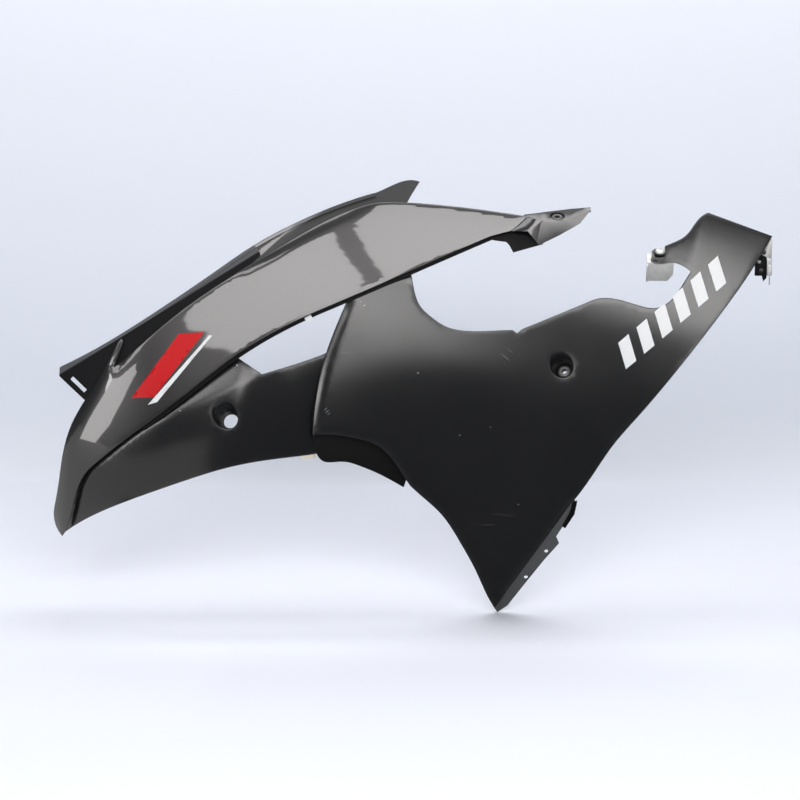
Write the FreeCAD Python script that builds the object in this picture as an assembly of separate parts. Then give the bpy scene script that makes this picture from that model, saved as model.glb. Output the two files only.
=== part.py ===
import FreeCAD, Part
import math
import os
from FreeCAD import Vector

# Left side fairing of a sports motorcycle: moulded panels fixed to each other, with their fasteners.
# Millimetres. X runs from nose to tail, Y from the outer face inboard, Z up.
# All panels follow one crowned body form and lie at their own depth inboard of it.

# Body form: a crown across the seam, a wrap at the nose, a twist and a sweep towards the tail
SEAM_X = -341.0
SEAM_Z = 49.0
SEAM_RISE = 29.9
CROWN_RADIUS = 650.0
CROWN_LINE = -40.0
TWIST_RATE = 0.75
TWIST_START = 80.0
NOSE_RADIUS = 200.0
NOSE_START = -180.0
TAIL_RADIUS = 2300.0
TAIL_START = 150.0
FORM_BLEND = 80.0

# Walls and clearances
PAINT_WALL = 3.0
BLACK_WALL = 2.5
MATTE_WALL = 3.0
SEAT_GAP = 0.3
BOSS_SPACE = 5.0
RETURN_WALL = 2.5
LAP = 14.0

# Front lower panel: a roll across its width
FRONT_ROLL_RADIUS = 200.0
FRONT_ROLL_LINE = -45.0
FRONT_SPACE = 5.0

# Scoop liner, rail lip and rim
LINER_SPACE = 12.0
RAIL_LIP = 5.0
RAIL_SAG = 1.0
RAIL_COVER = 20.0
RIM_WIDTH = 3.5
RIM_RAISE = 1.5
RIM_DEPTH = 12.0

# Self-tapping screw and the bosses that take it
SCREW_RADIUS = 1.75
SCREW_LENGTH = 9.2
SCREW_HEAD_RADIUS = 4.2
SCREW_HEAD_HEIGHT = 2.6
SCREW_SOCKET_RADIUS = 1.7
SCREW_SOCKET_DEPTH = 1.5
THREAD_GAP = 0.05
HOLE_GAP = 0.4
BOSS_RADIUS = 4.5
PAD_RADIUS = 6.0
PAD_HEIGHT = 3.0
ROUND_SIDES = 12

# Fixing axis of the wells: it dips and sweeps to the rear while it runs inboard
AXIS_DIP = 27.0
AXIS_SWEEP = 13.0

# Fixing well of the lower panel, with its grommet and collar
WELL_X = 0.0
WELL_Z = -2.0
WELL_RIM_RADIUS = 14.0
WELL_FLOOR_RADIUS = 8.8
WELL_DEPTH = 18.0
WELL_WALL = 2.5
COLLAR_BORE_RADIUS = 3.3
COLLAR_WALL = 1.2
COLLAR_FLANGE_RADIUS = 6.5
COLLAR_FLANGE = 1.0
GROMMET_WALL = 1.8
GROMMET_FLANGE = 2.0
GROMMET_FLANGE_WIDTH = 1.7
BUSH_GAP = 0.1

# Deep oval well of the front lower panel
OVAL_X = -423.0
OVAL_Z = -63.0
OVAL_RIM_RADIUS = 15.5
OVAL_FLOOR_RADIUS = 13.5
OVAL_DEPTH = 24.0
OVAL_HOLE_RADIUS = 9.5

# Rear tip of the painted panel: raised facet, scooped shelf and its fixing
TIP_RAISE = 7.0
TIP_TILT = 0.25
SHELF_DEPTH = 28.0
SHELF_ANGLE = 27.0
TIP_FIX_X = -6.0
TIP_BOSS_RADIUS = 11.5
TIP_RECESS_RADIUS = 9.2
TIP_RECESS = 4.0

# Belly flange
FLANGE_STEP = 2.5
FLANGE_HOLE_RADIUS = 2.5

# Arm fixing
ARM_X = 125.0
ARM_Z = 132.0
ARM_DIP = 63.0
LUG_REACH = 13.5
LUG_RADIUS = 10.5
LUG_WALL = 4.0
ARM_BOLT_RADIUS = 3.0
ARM_HEAD_RADIUS = 6.5
ARM_HEAD_HEIGHT = 3.6
ARM_SOCKET_RADIUS = 2.65
ARM_SOCKET_DEPTH = 2.2
WASHER_RADIUS = 8.0
WASHER_WALL = 1.2
PAD_WALL = 2.5
CLIP_SHEET = 1.5
CLIP_WIDTH = 34.0
CLIP_DROP = 28.0
NUT_FLATS = 10.0
NUT_HEIGHT = 5.0

# Rear stay, retainer and spring clip, flat plates square to Y
STAY_SHEET = 1.5
RETAINER_WALL = 2.5
RETAINER_HOLE_RADIUS = 2.2
RIVET_RADIUS = 1.6
RIVET_HEAD_RADIUS = 2.8
RIVET_HEAD = 1.2
STAY_SCREW = (253.0, 147.0)
STAY_RIVET = (260.0, 136.0)
CLIP_RIVET = (257.0, 113.0)

# Small clips, foil and tape
SNAP_SHEET = 1.2
SNAP_GAP = 0.2
SNAP_REACH = 6.5
SNAP_HALF = 4.5
SNAP_PLACE = (-320, 64)
FOIL_WALL = 0.5
TAPE_WALL = 3.0
RIB_WALL = 2.0
RIB_HEIGHT = 7.0
RETURN_DEPTH = 9.0

# Outlines as X, Z points of the finished edges
NOSE_EDGE = [(-648, -243), (-657, -225), (-650, -181), (-638, -127), (-622, -80), (-602, -46), (-574, 0)]
FINGER_TIP = [(-557, 31), (-553, 33), (-551, 29)]
TOP_EDGE = [(-562, -2), (-542, 15), (-492, 58), (-431, 102), (-347, 153), (-303, 178), (-254, 198)]
TOP_REAR = [(-254, 198), (-232, 203), (-195, 203), (-104, 194), (-42, 185)]
LOW_EDGE = [(-600, -138), (-530, -79), (-473, -36), (-417, 8), (-328, 60), (-270, 85),
            (-191, 119), (-91, 161)]
LOW_NOSE = [(-600, -138), (-622, -178), (-640, -230), (-648, -243)]
LOW_REAR = [(-64, 168), (-91, 161)]
TIP_CREASE = [(36, 193), (25, 189), (12, 183), (-3, 179), (-17, 179), (-29, 181)]
TIP_EDGE = [(-44, 168), (-30, 150), (-4, 162), (22, 176), (36, 193)]
SHELF_EDGE = [(-60, 186), (60, 198)]
INNER_RIM = [(-636, -8), (-545, 44), (-517, 62), (-441, 113), (-391, 147), (-329, 180),
             (-272, 203), (-236, 214)]
FIN_EDGE = [(-236, 214), (-208, 226), (-189, 230), (-179, 228)]
FIN_ROOT = [(-179, 228), (-190, 211), (-195, 202)]
INNER_END = [(-603, -48), (-637, -19)]
INNER_SLOT = [(-622, -22), (-604, -38)]
FRONT_SEAM = [(-646, -240), (-634, -188), (-612, -140)]
FRONT_BROW = [(-377, -11), (-342, -1), (-307, 11), (-282, 22)]
FRONT_LOW = [(-296, -118), (-345, -123), (-401, -128), (-470, -147), (-536, -173), (-607, -210), (-646, -240)]
LIP_EDGE = [(-314, -89), (-313, -69), (-309, -37), (-301, 1), (-294, 23), (-271, 79)]
NECK_EDGE = [(-271, 79), (-229, 102), (-189, 112)]
BAY_EDGE = [(-189, 112), (-186, 95), (-179, 76), (-164, 61), (-145, 49), (-121, 44), (-91, 44), (-63, 45)]
CHIP = [(-63, 45), (-57, 41), (-51, 46)]
BAY_REAR = [(39, 82), (51, 84), (97, 74), (119, 71), (133, 77), (148, 93), (163, 115)]
ARM_EDGE = [(163, 115), (153, 122), (141, 126), (118, 125), (113, 128), (114, 132)]
ARM_ROOT = [(131, 134), (131, 146)]
ARM_BROW = [(131, 146), (138, 149), (150, 154), (158, 159), (166, 168), (188, 187)]
PLATE_EDGE = [(188, 187), (270, 157)]
REAR_EDGE = [(270, 157), (232, 103), (189, 48), (93, -70), (67, -102), (40, -146), (18, -180)]
BELLY_EDGE = [(18, -180), (4, -196), (-10, -221), (-28, -251), (-49, -286), (-68, -320), (-75, -345)]
SCOOP_REAR = [(-75, -345), (-87, -324), (-106, -279), (-125, -241), (-152, -197), (-178, -171), (-191, -158)]
SCOOP_EDGE = [(-191, -158), (-210, -127), (-223, -111), (-235, -102), (-259, -94), (-279, -90), (-314, -89)]
FLANGE_EDGE = [(20, -179), (17, -196), (5, -218), (-2, -231), (2, -241), (-17, -267),
               (-37, -297), (-62, -335)]
FLANGE_HOLES = [(-14, -253), (-39, -292)]
LINER_LOW = [(-312, -104), (-308, -118), (-303, -124), (-278, -126), (-255, -132), (-229, -144), (-199, -162)]
STAY_EDGE = [(238, 153), (270, 153), (270, 127), (257, 133), (240, 137)]
RETAINER_EDGE = [(252, 142), (264, 142), (264, 103), (260, 99), (258, 106), (249, 106), (249, 121)]
RETAINER_HOLE = (254.5, 124.0)
BELLY_CLIP_EDGE = [(23, -180), (20, -199), (9, -219), (5, -216), (14, -196), (17, -181)]
FOIL_EDGE = [(-185, -20), (-60, -15), (-25, -60), (-30, -150), (-70, -235), (-110, -215), (-165, -140)]
TAPE_EDGE = [(-329, -127), (-312, -126), (-312, -102), (-329, -103)]
RIBS = [[(-150, 20), (-40, 18)], [(35, 40), (150, 60)], [(60, -30), (205, 120)], [(-250, 70), (-215, -60)]]
GUSSET = [(-86, 156), (-71, 154), (-67, 150), (-62, 141), (-24, 151), (-38, 169)]

# Screw places: panel edge points and how far inside the edge they sit
INNER_SCREWS = [(-478, 68), (-389, 128), (-303, 178)]
INNER_SCREW_INSET = 13.0
RAIL_SCREWS = [(-374, 34), (-299, 73), (-160, 132), (-105, 156)]
RAIL_SCREW_INSET = 9.0
FRONT_SCREWS = [(-530, -79), (-452, -19)]
NECK_SCREWS = [(-250, 93), (-212, 110)]
NECK_SCREW_INSET = 8.0
LAP_SCREWS = [(-289, 4), (-292, -30)]
LINER_SCREWS = [(-280, -77), (-218, -98)]

# Depths inboard of the body form
INNER_DEPTH = PAINT_WALL + BOSS_SPACE
LOWER_DEPTH = INNER_DEPTH + BLACK_WALL + SEAT_GAP
FRONT_DEPTH = LOWER_DEPTH + MATTE_WALL + FRONT_SPACE
LINER_DEPTH = LOWER_DEPTH + MATTE_WALL + LINER_SPACE
FLANGE_DEPTH = LOWER_DEPTH + FLANGE_STEP

SEAM_COS = math.cos(math.radians(SEAM_RISE))
SEAM_SIN = math.sin(math.radians(SEAM_RISE))


def along_seam(x, z):
    """Distances along the seam and up from it."""
    dx = x - SEAM_X
    dz = z - SEAM_Z
    return dx * SEAM_COS + dz * SEAM_SIN, dz * SEAM_COS - dx * SEAM_SIN


def eased(distance):
    """A distance that fades smoothly to nothing below zero."""
    return (distance + math.hypot(distance, FORM_BLEND)) / 2


def body(x, z):
    """Depth of the body form inboard of the outermost line."""
    run, rise = along_seam(x, z)
    line = CROWN_LINE - TWIST_RATE * eased(run - TWIST_START)
    crown = (rise - line) ** 2 / (2 * CROWN_RADIUS)
    nose = eased(NOSE_START - run) ** 2 / (2 * NOSE_RADIUS)
    tail = eased(run - TAIL_START) ** 2 / (2 * TAIL_RADIUS)
    return crown + nose + tail


def front_body(x, z):
    """The body form with the roll of the front lower panel."""
    rise = along_seam(x, z)[1]
    return body(x, z) + (rise - FRONT_ROLL_LINE) ** 2 / (2 * FRONT_ROLL_RADIUS)


def skin(depth, x_from, x_to, z_from, z_to, pitch):
    """Smooth face through a depth function."""
    columns = max(4, round((x_to - x_from) / pitch))
    rows = max(4, round((z_to - z_from) / pitch))
    points = []
    for i in range(columns + 1):
        x = x_from + (x_to - x_from) * i / columns
        heights = [z_from + (z_to - z_from) * j / rows for j in range(rows + 1)]
        points.append([Vector(x, depth(x, z), z) for z in heights])
    surface = Part.BSplineSurface()
    surface.interpolate(points)
    return surface.toShape()


BODY_SKIN = skin(body, -690, 310, -380, 260, 55)
FRONT_SKIN = skin(front_body, -690, -250, -280, 60, 48)


def layer(face, start, end):
    """Everything between two depths inboard of a face."""
    return face.translated(Vector(0, start, 0)).extrude(Vector(0, end - start, 0))


def flat(point):
    return Vector(point[0], -100, point[1])


def prism(*runs):
    """Column through a closed outline; a run of two points is straight, a longer one is a smooth curve."""
    edges = []
    last = None
    for run in runs:
        points = [flat(p) for p in run]
        if last is not None and last.distanceToPoint(points[0]) > 0.01:
            edges.append(Part.makeLine(last, points[0]))
        if len(points) == 2:
            edges.append(Part.makeLine(points[0], points[1]))
        else:
            curve = Part.BSplineCurve()
            curve.interpolate(points)
            edges.append(curve.toShape())
        last = points[-1]
    first = flat(runs[0][0])
    if last.distanceToPoint(first) > 0.01:
        edges.append(Part.makeLine(last, first))
    return Part.Face(Part.Wire(edges)).extrude(Vector(0, 500, 0))


def chain(points):
    """Straight runs through points."""
    return [[points[i], points[i + 1]] for i in range(len(points) - 1)]


def shifted(points, rise):
    """Points moved square to the seam."""
    return [(x - rise * SEAM_SIN, z + rise * SEAM_COS) for x, z in points]


def moved(points, dx, dz):
    return [(x + dx, z + dz) for x, z in points]


def band(points, dx, dz):
    """Column over a strip along an edge, as wide as the shift."""
    return prism(points, list(reversed(moved(points, dx, dz))))


def post(x, z, radius):
    return Part.makeCylinder(radius, 500, Vector(x, -100, z), Vector(0, 1, 0))


def many_sided(radius, sides, height, base, axis, spin=0):
    """Right prism on a regular polygon about an axis."""
    points = []
    for i in range(sides + 1):
        angle = math.radians(360 * i / sides + spin)
        points.append(Vector(radius * math.cos(angle), radius * math.sin(angle), 0))
    solid = Part.Face(Part.makePolygon(points)).extrude(Vector(0, 0, height))
    solid.Placement = FreeCAD.Placement(base, FreeCAD.Rotation(Vector(0, 0, 1), axis))
    return solid


def rod(place, radius, start, end):
    """Many-sided rod along Y, for bosses and small fasteners."""
    return many_sided(radius, ROUND_SIDES, end - start, Vector(place[0], start, place[1]), Vector(0, 1, 0))


def fused(first, others):
    return first.multiFuse(others).removeSplitter() if others else first


class Screwed:
    """One screw place: a boss on the outer piece, a seat on the inner piece, and the screw."""

    def __init__(self, place, behind_outer, from_inner, seat, behind_inner=None):
        self.place = place
        self.pilot = self.column(SCREW_RADIUS + THREAD_GAP, seat - SCREW_LENGTH - SEAT_GAP, seat)
        self.boss = self.column(BOSS_RADIUS, -100, 400).common(behind_outer).cut(from_inner).cut(self.pilot)
        if behind_inner is not None:
            self.pad = self.column(PAD_RADIUS, seat - 4 * PAD_HEIGHT, seat).common(behind_inner)
        self.hole = self.column(SCREW_RADIUS + HOLE_GAP, seat - 5 * PAD_HEIGHT, seat + PAD_HEIGHT)
        head = self.column(SCREW_HEAD_RADIUS, seat, seat + SCREW_HEAD_HEIGHT)
        shank = self.column(SCREW_RADIUS, seat - SCREW_LENGTH, seat)
        top = seat + SCREW_HEAD_HEIGHT
        socket = self.column(SCREW_SOCKET_RADIUS, top - SCREW_SOCKET_DEPTH, top)
        self.screw = head.fuse(shank).removeSplitter().cut(socket)

    def column(self, radius, start, end):
        return rod(self.place, radius, start, end)


def screwed(places, outer_back, inner_skin, inner_form, inner_front, inner_wall):
    """Screw places that hold an inner sheet to a piece that follows the body form."""
    inner_back = inner_front + inner_wall
    behind_outer = layer(BODY_SKIN, outer_back - 0.5, outer_back + 60)
    from_inner = layer(inner_skin, inner_front - SEAT_GAP, inner_front + 80)
    behind_inner = layer(inner_skin, inner_back - 0.5, inner_back + 60)
    made = []
    for x, z in places:
        seat = inner_form(x, z) + inner_back + PAD_HEIGHT
        made.append(Screwed((x, z), behind_outer, from_inner, seat, behind_inner))
    return made


def turned(profile, base, axis):
    """Solid of revolution from distance-along, radius pairs about an axis."""
    points = [Vector(r, 0, a) for a, r in profile]
    face = Part.Face(Part.makePolygon(points + [points[0]]))
    solid = face.revolve(Vector(0, 0, 0), Vector(0, 0, 1), 360)
    turn = FreeCAD.Rotation(Vector(0, 0, 1), axis)
    solid.Placement = FreeCAD.Placement(base, turn)
    return solid


def fixing_axis():
    dip = math.radians(AXIS_DIP)
    sweep = math.radians(AXIS_SWEEP)
    return Vector(math.cos(dip) * math.sin(sweep), math.cos(dip) * math.cos(sweep), -math.sin(dip))


FIX_AXIS = fixing_axis()


def cup(base, rim_radius, floor_radius, depth, reach):
    """Drafted well along the fixing axis: its outside and its hollow, drawn out past the rim."""
    draft = (rim_radius - floor_radius) / depth
    start = base - FIX_AXIS * reach
    top = rim_radius + draft * reach
    wall = WELL_WALL
    outside = Part.makeCone(top + wall, floor_radius + wall, depth + reach, start, FIX_AXIS)
    floor = Part.makeCylinder(floor_radius + wall, wall, base + FIX_AXIS * (depth - 0.001), FIX_AXIS)
    hollow = Part.makeCone(top, floor_radius, depth + reach, start, FIX_AXIS)
    return outside.fuse(floor).removeSplitter(), hollow


def bushes(floor_base, axis, floor_wall):
    """Rubber grommet and flanged steel collar through a floor; returns them and the floor's hole radius."""
    tube = COLLAR_BORE_RADIUS + COLLAR_WALL
    inner = tube + BUSH_GAP
    neck = inner + GROMMET_WALL
    lip = neck + GROMMET_FLANGE_WIDTH
    top = -GROMMET_FLANGE
    low = floor_wall + GROMMET_FLANGE
    grommet = turned([(top, inner), (top, lip), (-BUSH_GAP, lip), (-BUSH_GAP, neck),
                      (floor_wall + BUSH_GAP, neck), (floor_wall + BUSH_GAP, lip),
                      (low, lip), (low, inner)], floor_base, axis)
    flange_top = top - BUSH_GAP - COLLAR_FLANGE
    collar = turned([(flange_top, COLLAR_BORE_RADIUS), (flange_top, COLLAR_FLANGE_RADIUS),
                     (top - BUSH_GAP, COLLAR_FLANGE_RADIUS), (top - BUSH_GAP, tube),
                     (low + COLLAR_FLANGE, tube), (low + COLLAR_FLANGE, COLLAR_BORE_RADIUS)],
                    floor_base, axis)
    return grommet, collar, neck + BUSH_GAP


RAIL_BACK = INNER_DEPTH + BLACK_WALL
LOWER_BACK = LOWER_DEPTH + MATTE_WALL
INNER_PLACES = screwed(shifted(INNER_SCREWS, -INNER_SCREW_INSET), PAINT_WALL,
                       BODY_SKIN, body, INNER_DEPTH, BLACK_WALL)
RAIL_PLACES = screwed(shifted(RAIL_SCREWS, RAIL_SCREW_INSET), PAINT_WALL,
                      BODY_SKIN, body, INNER_DEPTH, BLACK_WALL)
FRONT_PLACES = screwed(shifted(FRONT_SCREWS, RAIL_SCREW_INSET), RAIL_BACK,
                       FRONT_SKIN, front_body, FRONT_DEPTH, MATTE_WALL)
NECK_PLACES = screwed(shifted(NECK_SCREWS, NECK_SCREW_INSET), RAIL_BACK,
                      BODY_SKIN, body, LOWER_DEPTH, MATTE_WALL)
LAP_PLACES = screwed(LAP_SCREWS, LOWER_BACK, FRONT_SKIN, front_body, FRONT_DEPTH, MATTE_WALL)
LINER_PLACES = screwed(LINER_SCREWS, LOWER_BACK, BODY_SKIN, body, LINER_DEPTH, BLACK_WALL)

REAR_Y = body(REAR_EDGE[0][0], REAR_EDGE[0][1]) + LOWER_BACK + SEAT_GAP
STAY_BACK = REAR_Y + STAY_SHEET
STAY_PLACE = Screwed(STAY_SCREW, layer(BODY_SKIN, LOWER_BACK - 0.5, LOWER_BACK + 60),
                     Part.makeBox(200, 100, 200, Vector(150, REAR_Y - SEAT_GAP, 50)), STAY_BACK)

TIP_Y = body(TIP_CREASE[-1][0], TIP_CREASE[-1][1]) - TIP_RAISE
SHELF_RUN = Vector(0, math.cos(math.radians(SHELF_ANGLE)), math.sin(math.radians(SHELF_ANGLE)))
SHELF_IN = Vector(0, math.sin(math.radians(SHELF_ANGLE)), -math.cos(math.radians(SHELF_ANGLE)))


def tip_y(x):
    """Depth of the tip's flat facet."""
    return TIP_Y + TIP_TILT * (x - TIP_CREASE[-1][0])


def tip_fixing():
    """Place of the tip's fixing on the shelf, half way in."""
    crease = TIP_CREASE[3]
    return Vector(TIP_FIX_X, tip_y(TIP_FIX_X), crease[1]) + SHELF_RUN * (SHELF_DEPTH / 2)


def rear_tip():
    """Raised facet, riser and scooped shelf with its fixing boss."""
    curve = Part.BSplineCurve()
    curve.interpolate([Vector(x, tip_y(x), z) for x, z in TIP_CREASE])
    crease = curve.toShape()
    rim = [Vector(x, tip_y(x), z) for x, z in TIP_CREASE[-1:] + TIP_EDGE]
    facet_face = Part.Face(Part.Wire([crease] + Part.makePolygon(rim).Edges))
    facet = facet_face.extrude(Vector(0, PAINT_WALL, 0))
    root = []
    for x, z in (TOP_REAR[-1], LOW_REAR[0]):
        root.append(Vector(x - 2 * PAINT_WALL, body(x - 2 * PAINT_WALL, z) + PAINT_WALL / 2, z))
    ridge = [Vector(x, tip_y(x), z) for x, z in (TIP_CREASE[-1], TIP_EDGE[0])]
    riser_face = Part.makeRuledSurface(Part.makeLine(root[0], root[1]), Part.makeLine(ridge[0], ridge[1]))
    riser = riser_face.extrude(Vector(0, PAINT_WALL, 0))
    brow = Part.makeLine(root[0], ridge[0])
    beyond = prism(SHELF_EDGE, moved(list(reversed(SHELF_EDGE)), 0, 100))
    shelves = []
    for front in (crease, brow):
        ledge = front.extrude(SHELF_RUN * SHELF_DEPTH).extrude(SHELF_IN * PAINT_WALL)
        shelves.append(ledge.cut(beyond))
    place = tip_fixing()
    height = TIP_RECESS + WELL_WALL
    boss = Part.makeCylinder(TIP_BOSS_RADIUS, height, place, SHELF_IN)
    recess = Part.makeCylinder(TIP_RECESS_RADIUS, TIP_RECESS + 20, place - SHELF_IN * 20, SHELF_IN)
    return [facet, riser, boss] + shelves, recess


def upper_side_panel():
    outline = prism(NOSE_EDGE, [NOSE_EDGE[-1], FINGER_TIP[0]], FINGER_TIP, [FINGER_TIP[-1], TOP_EDGE[0]],
                    TOP_EDGE, TOP_REAR, [TOP_REAR[-1], LOW_REAR[0]], LOW_REAR,
                    list(reversed(LOW_EDGE)), LOW_NOSE)
    sheet = layer(BODY_SKIN, 0, PAINT_WALL).common(outline)
    pieces, recess = rear_tip()
    bosses = [place.boss for place in INNER_PLACES + RAIL_PLACES]
    edge_return = layer(BODY_SKIN, 0, INNER_DEPTH - 2 * SEAT_GAP)
    low_return = edge_return.common(band(LOW_EDGE, -RETURN_WALL * SEAM_SIN, RETURN_WALL * SEAM_COS))
    top_return = edge_return.common(band(TOP_REAR, 0, -RETURN_WALL))
    panel = fused(sheet, pieces + bosses + [low_return, top_return])
    hole = Part.makeCylinder(TIP_HOLE_RADIUS, 80, tip_fixing() - SHELF_IN * 20, SHELF_IN)
    return panel.cut(recess).cut(hole)


def upper_inner_panel():
    hidden = shifted(TOP_EDGE[1:], -RAIL_COVER - RAIL_LIP)
    outline = prism(INNER_RIM, FIN_EDGE, *chain(FIN_ROOT), [FIN_ROOT[-1], hidden[-1]],
                    list(reversed(hidden)), [hidden[0], INNER_END[0]], INNER_END)
    sheet = layer(BODY_SKIN, INNER_DEPTH, INNER_DEPTH + BLACK_WALL).common(outline)
    rim = layer(BODY_SKIN, INNER_DEPTH - RIM_RAISE, INNER_DEPTH + RIM_DEPTH).common(
        band(INNER_RIM, RIM_WIDTH * SEAM_SIN, -RIM_WIDTH * SEAM_COS))
    panel = fused(sheet, [rim] + [place.pad for place in INNER_PLACES])
    for place in INNER_PLACES:
        panel = panel.cut(place.hole)
    return panel.cut(band(INNER_SLOT, 4.0, 4.0))


def seam_rail():
    low = shifted(LOW_EDGE[1:], -RAIL_LIP)
    high = shifted(LOW_EDGE[1:], RAIL_COVER)
    outline = prism(low, [low[-1], GUSSET[0]], *chain(GUSSET), [GUSSET[-1], high[-1]], list(reversed(high)))
    sheet = layer(BODY_SKIN, INNER_DEPTH, INNER_DEPTH + BLACK_WALL).common(outline)
    bosses = [place.boss for place in FRONT_PLACES]
    rail = fused(sheet, bosses + [place.pad for place in RAIL_PLACES])
    for place in RAIL_PLACES:
        rail = rail.cut(place.hole)
    for place in NECK_PLACES + FRONT_PLACES:
        rail = rail.cut(place.pilot)
    return rail


def front_lower_panel():
    seam = shifted(LOW_EDGE[1:4], LAP)
    outline = prism(FRONT_SEAM, [FRONT_SEAM[-1], seam[0]], seam, [seam[-1], FRONT_BROW[0]], FRONT_BROW,
                    [FRONT_BROW[-1], FRONT_LOW[0]], FRONT_LOW)
    sheet = layer(FRONT_SKIN, FRONT_DEPTH, FRONT_DEPTH + MATTE_WALL).common(outline)
    base = Vector(OVAL_X, front_body(OVAL_X, OVAL_Z) + FRONT_DEPTH, OVAL_Z)
    outside, hollow = cup(base, OVAL_RIM_RADIUS, OVAL_FLOOR_RADIUS, OVAL_DEPTH, 20)
    outside = outside.common(layer(FRONT_SKIN, FRONT_DEPTH, FRONT_DEPTH + 100))
    panel = fused(sheet, [outside] + [place.pad for place in FRONT_PLACES + LAP_PLACES])
    panel = panel.cut(hollow)
    panel = panel.cut(Part.makeCylinder(OVAL_HOLE_RADIUS, 60, base, FIX_AXIS))
    for place in FRONT_PLACES + LAP_PLACES:
        panel = panel.cut(place.hole)
    return panel


def well_base():
    return Vector(WELL_X, body(WELL_X, WELL_Z) + LOWER_DEPTH, WELL_Z)


def arm_axis():
    return Vector(0, math.cos(math.radians(ARM_DIP)), -math.sin(math.radians(ARM_DIP)))


def arm_base():
    """Middle of the lug's top, inboard of the arm's upper edge."""
    edge = Vector(ARM_X, body(ARM_X, ARM_Z) + LOWER_DEPTH + MATTE_WALL / 2, ARM_Z)
    return edge + lug_run() * LUG_REACH


def lug_run():
    """Direction of the lug's top, inboard and up."""
    return Vector(0, math.sin(math.radians(ARM_DIP)), math.cos(math.radians(ARM_DIP)))


def arm_lug():
    """Round-ended tab that runs inboard from the arm's upper edge."""
    disc = Part.makeCylinder(LUG_RADIUS, LUG_WALL, arm_base(), arm_axis())
    corner = arm_base() - Vector(LUG_RADIUS, 0, 0)
    points = [corner, corner - lug_run() * LUG_REACH]
    points = points + [points[1] + Vector(2 * LUG_RADIUS, 0, 0), corner + Vector(2 * LUG_RADIUS, 0, 0)]
    tab = Part.Face(Part.makePolygon(points + [points[0]])).extrude(arm_axis() * LUG_WALL)
    return disc.fuse(tab)


def lower_side_panel():
    neck = shifted(NECK_EDGE, LAP)
    outline = prism([LIP_EDGE[-1], neck[0]], neck, [neck[-1], BAY_EDGE[0]], BAY_EDGE, *chain(CHIP),
                    [CHIP[-1], BAY_REAR[0]], BAY_REAR, ARM_EDGE, [ARM_EDGE[-1], ARM_ROOT[0]], ARM_ROOT,
                    ARM_BROW, PLATE_EDGE, REAR_EDGE, BELLY_EDGE, SCOOP_REAR, SCOOP_EDGE, LIP_EDGE)
    front = LOWER_DEPTH
    back = LOWER_DEPTH + MATTE_WALL
    sheet = layer(BODY_SKIN, front, back).common(outline)
    root = moved(BELLY_EDGE[:-1], -6, 3) + BELLY_EDGE[-1:]
    edge = list(reversed(FLANGE_EDGE))
    flange_outline = prism(root, [root[-1], edge[0]], *chain(edge))
    flange = layer(BODY_SKIN, FLANGE_DEPTH, FLANGE_DEPTH + MATTE_WALL).common(flange_outline)
    lip_return = layer(BODY_SKIN, front, FRONT_DEPTH - SEAT_GAP).common(band(LIP_EDGE, RETURN_WALL, 0))
    edge_return = layer(BODY_SKIN, front, front + RETURN_DEPTH)
    inset = RETURN_WALL * 0.7
    inner_rear = moved(list(reversed(SCOOP_REAR)), inset, inset)
    inner_edge = moved(list(reversed(SCOOP_EDGE)), inset, inset)
    scoop_return = edge_return.common(prism(SCOOP_REAR, SCOOP_EDGE, [SCOOP_EDGE[-1], inner_edge[0]],
                                            inner_edge, inner_rear))
    below_stay = Part.makeBox(500, 500, 500, Vector(-100, -100, REAR_EDGE[1][1] - 500))
    rear_return = edge_return.common(band(REAR_EDGE, -RETURN_WALL, 0)).common(below_stay)
    rib_space = layer(BODY_SKIN, back - 0.5, back + RIB_HEIGHT)
    ribs = [rib_space.common(band(line, 0, RIB_WALL)) for line in RIBS]
    outside, hollow = cup(well_base(), WELL_RIM_RADIUS, WELL_FLOOR_RADIUS, WELL_DEPTH, 14)
    outside = outside.common(layer(BODY_SKIN, front, front + 100))
    extras = [flange, lip_return, scoop_return, rear_return, outside, arm_lug()]
    extras += ribs
    extras += [place.boss for place in LAP_PLACES + LINER_PLACES + [STAY_PLACE]]
    extras += [place.pad for place in NECK_PLACES]
    panel = fused(sheet, extras)
    panel = panel.cut(hollow)
    grommet_hole = Part.makeCylinder(FIX_HOLE_RADIUS, 60, well_base(), FIX_AXIS)
    panel = panel.cut(grommet_hole)
    panel = panel.cut(arm_column(BOLT_HOLE, -20, 40))
    for place in NECK_PLACES:
        panel = panel.cut(place.hole)
    for x, z in FLANGE_HOLES:
        panel = panel.cut(post(x, z, FLANGE_HOLE_RADIUS))
    return panel


def scoop_liner():
    high = moved(list(reversed(SCOOP_EDGE)), 0, 22)
    outline = prism(LINER_LOW, [LINER_LOW[-1], high[-1]], list(reversed(high)))
    sheet = layer(BODY_SKIN, LINER_DEPTH, LINER_DEPTH + BLACK_WALL).common(outline)
    liner = fused(sheet, [place.pad for place in LINER_PLACES])
    for place in LINER_PLACES:
        liner = liner.cut(place.hole)
    return liner


def arm_column(radius, start, end):
    """Cylinder on the arm's screw axis, measured from the lug's top."""
    return Part.makeCylinder(radius, end - start, arm_base() + arm_axis() * start, arm_axis())


def arm_frame(solid):
    """Moves a piece made on X, Y, Z to the arm's screw axis: its Z runs down the screw, its Y outwards."""
    across = Vector(0, -math.sin(math.radians(ARM_DIP)), -math.cos(math.radians(ARM_DIP)))
    turn = FreeCAD.Rotation(Vector(1, 0, 0), across, arm_axis(), "ZXY")
    solid.Placement = FreeCAD.Placement(arm_base(), turn)
    return solid


PAD_TOP = LUG_WALL + SEAT_GAP
CLIP_TOP = PAD_TOP + PAD_WALL + SEAT_GAP
NUT_TOP = CLIP_TOP + CLIP_SHEET + SEAT_GAP
BOLT_HOLE = ARM_BOLT_RADIUS + HOLE_GAP


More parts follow.
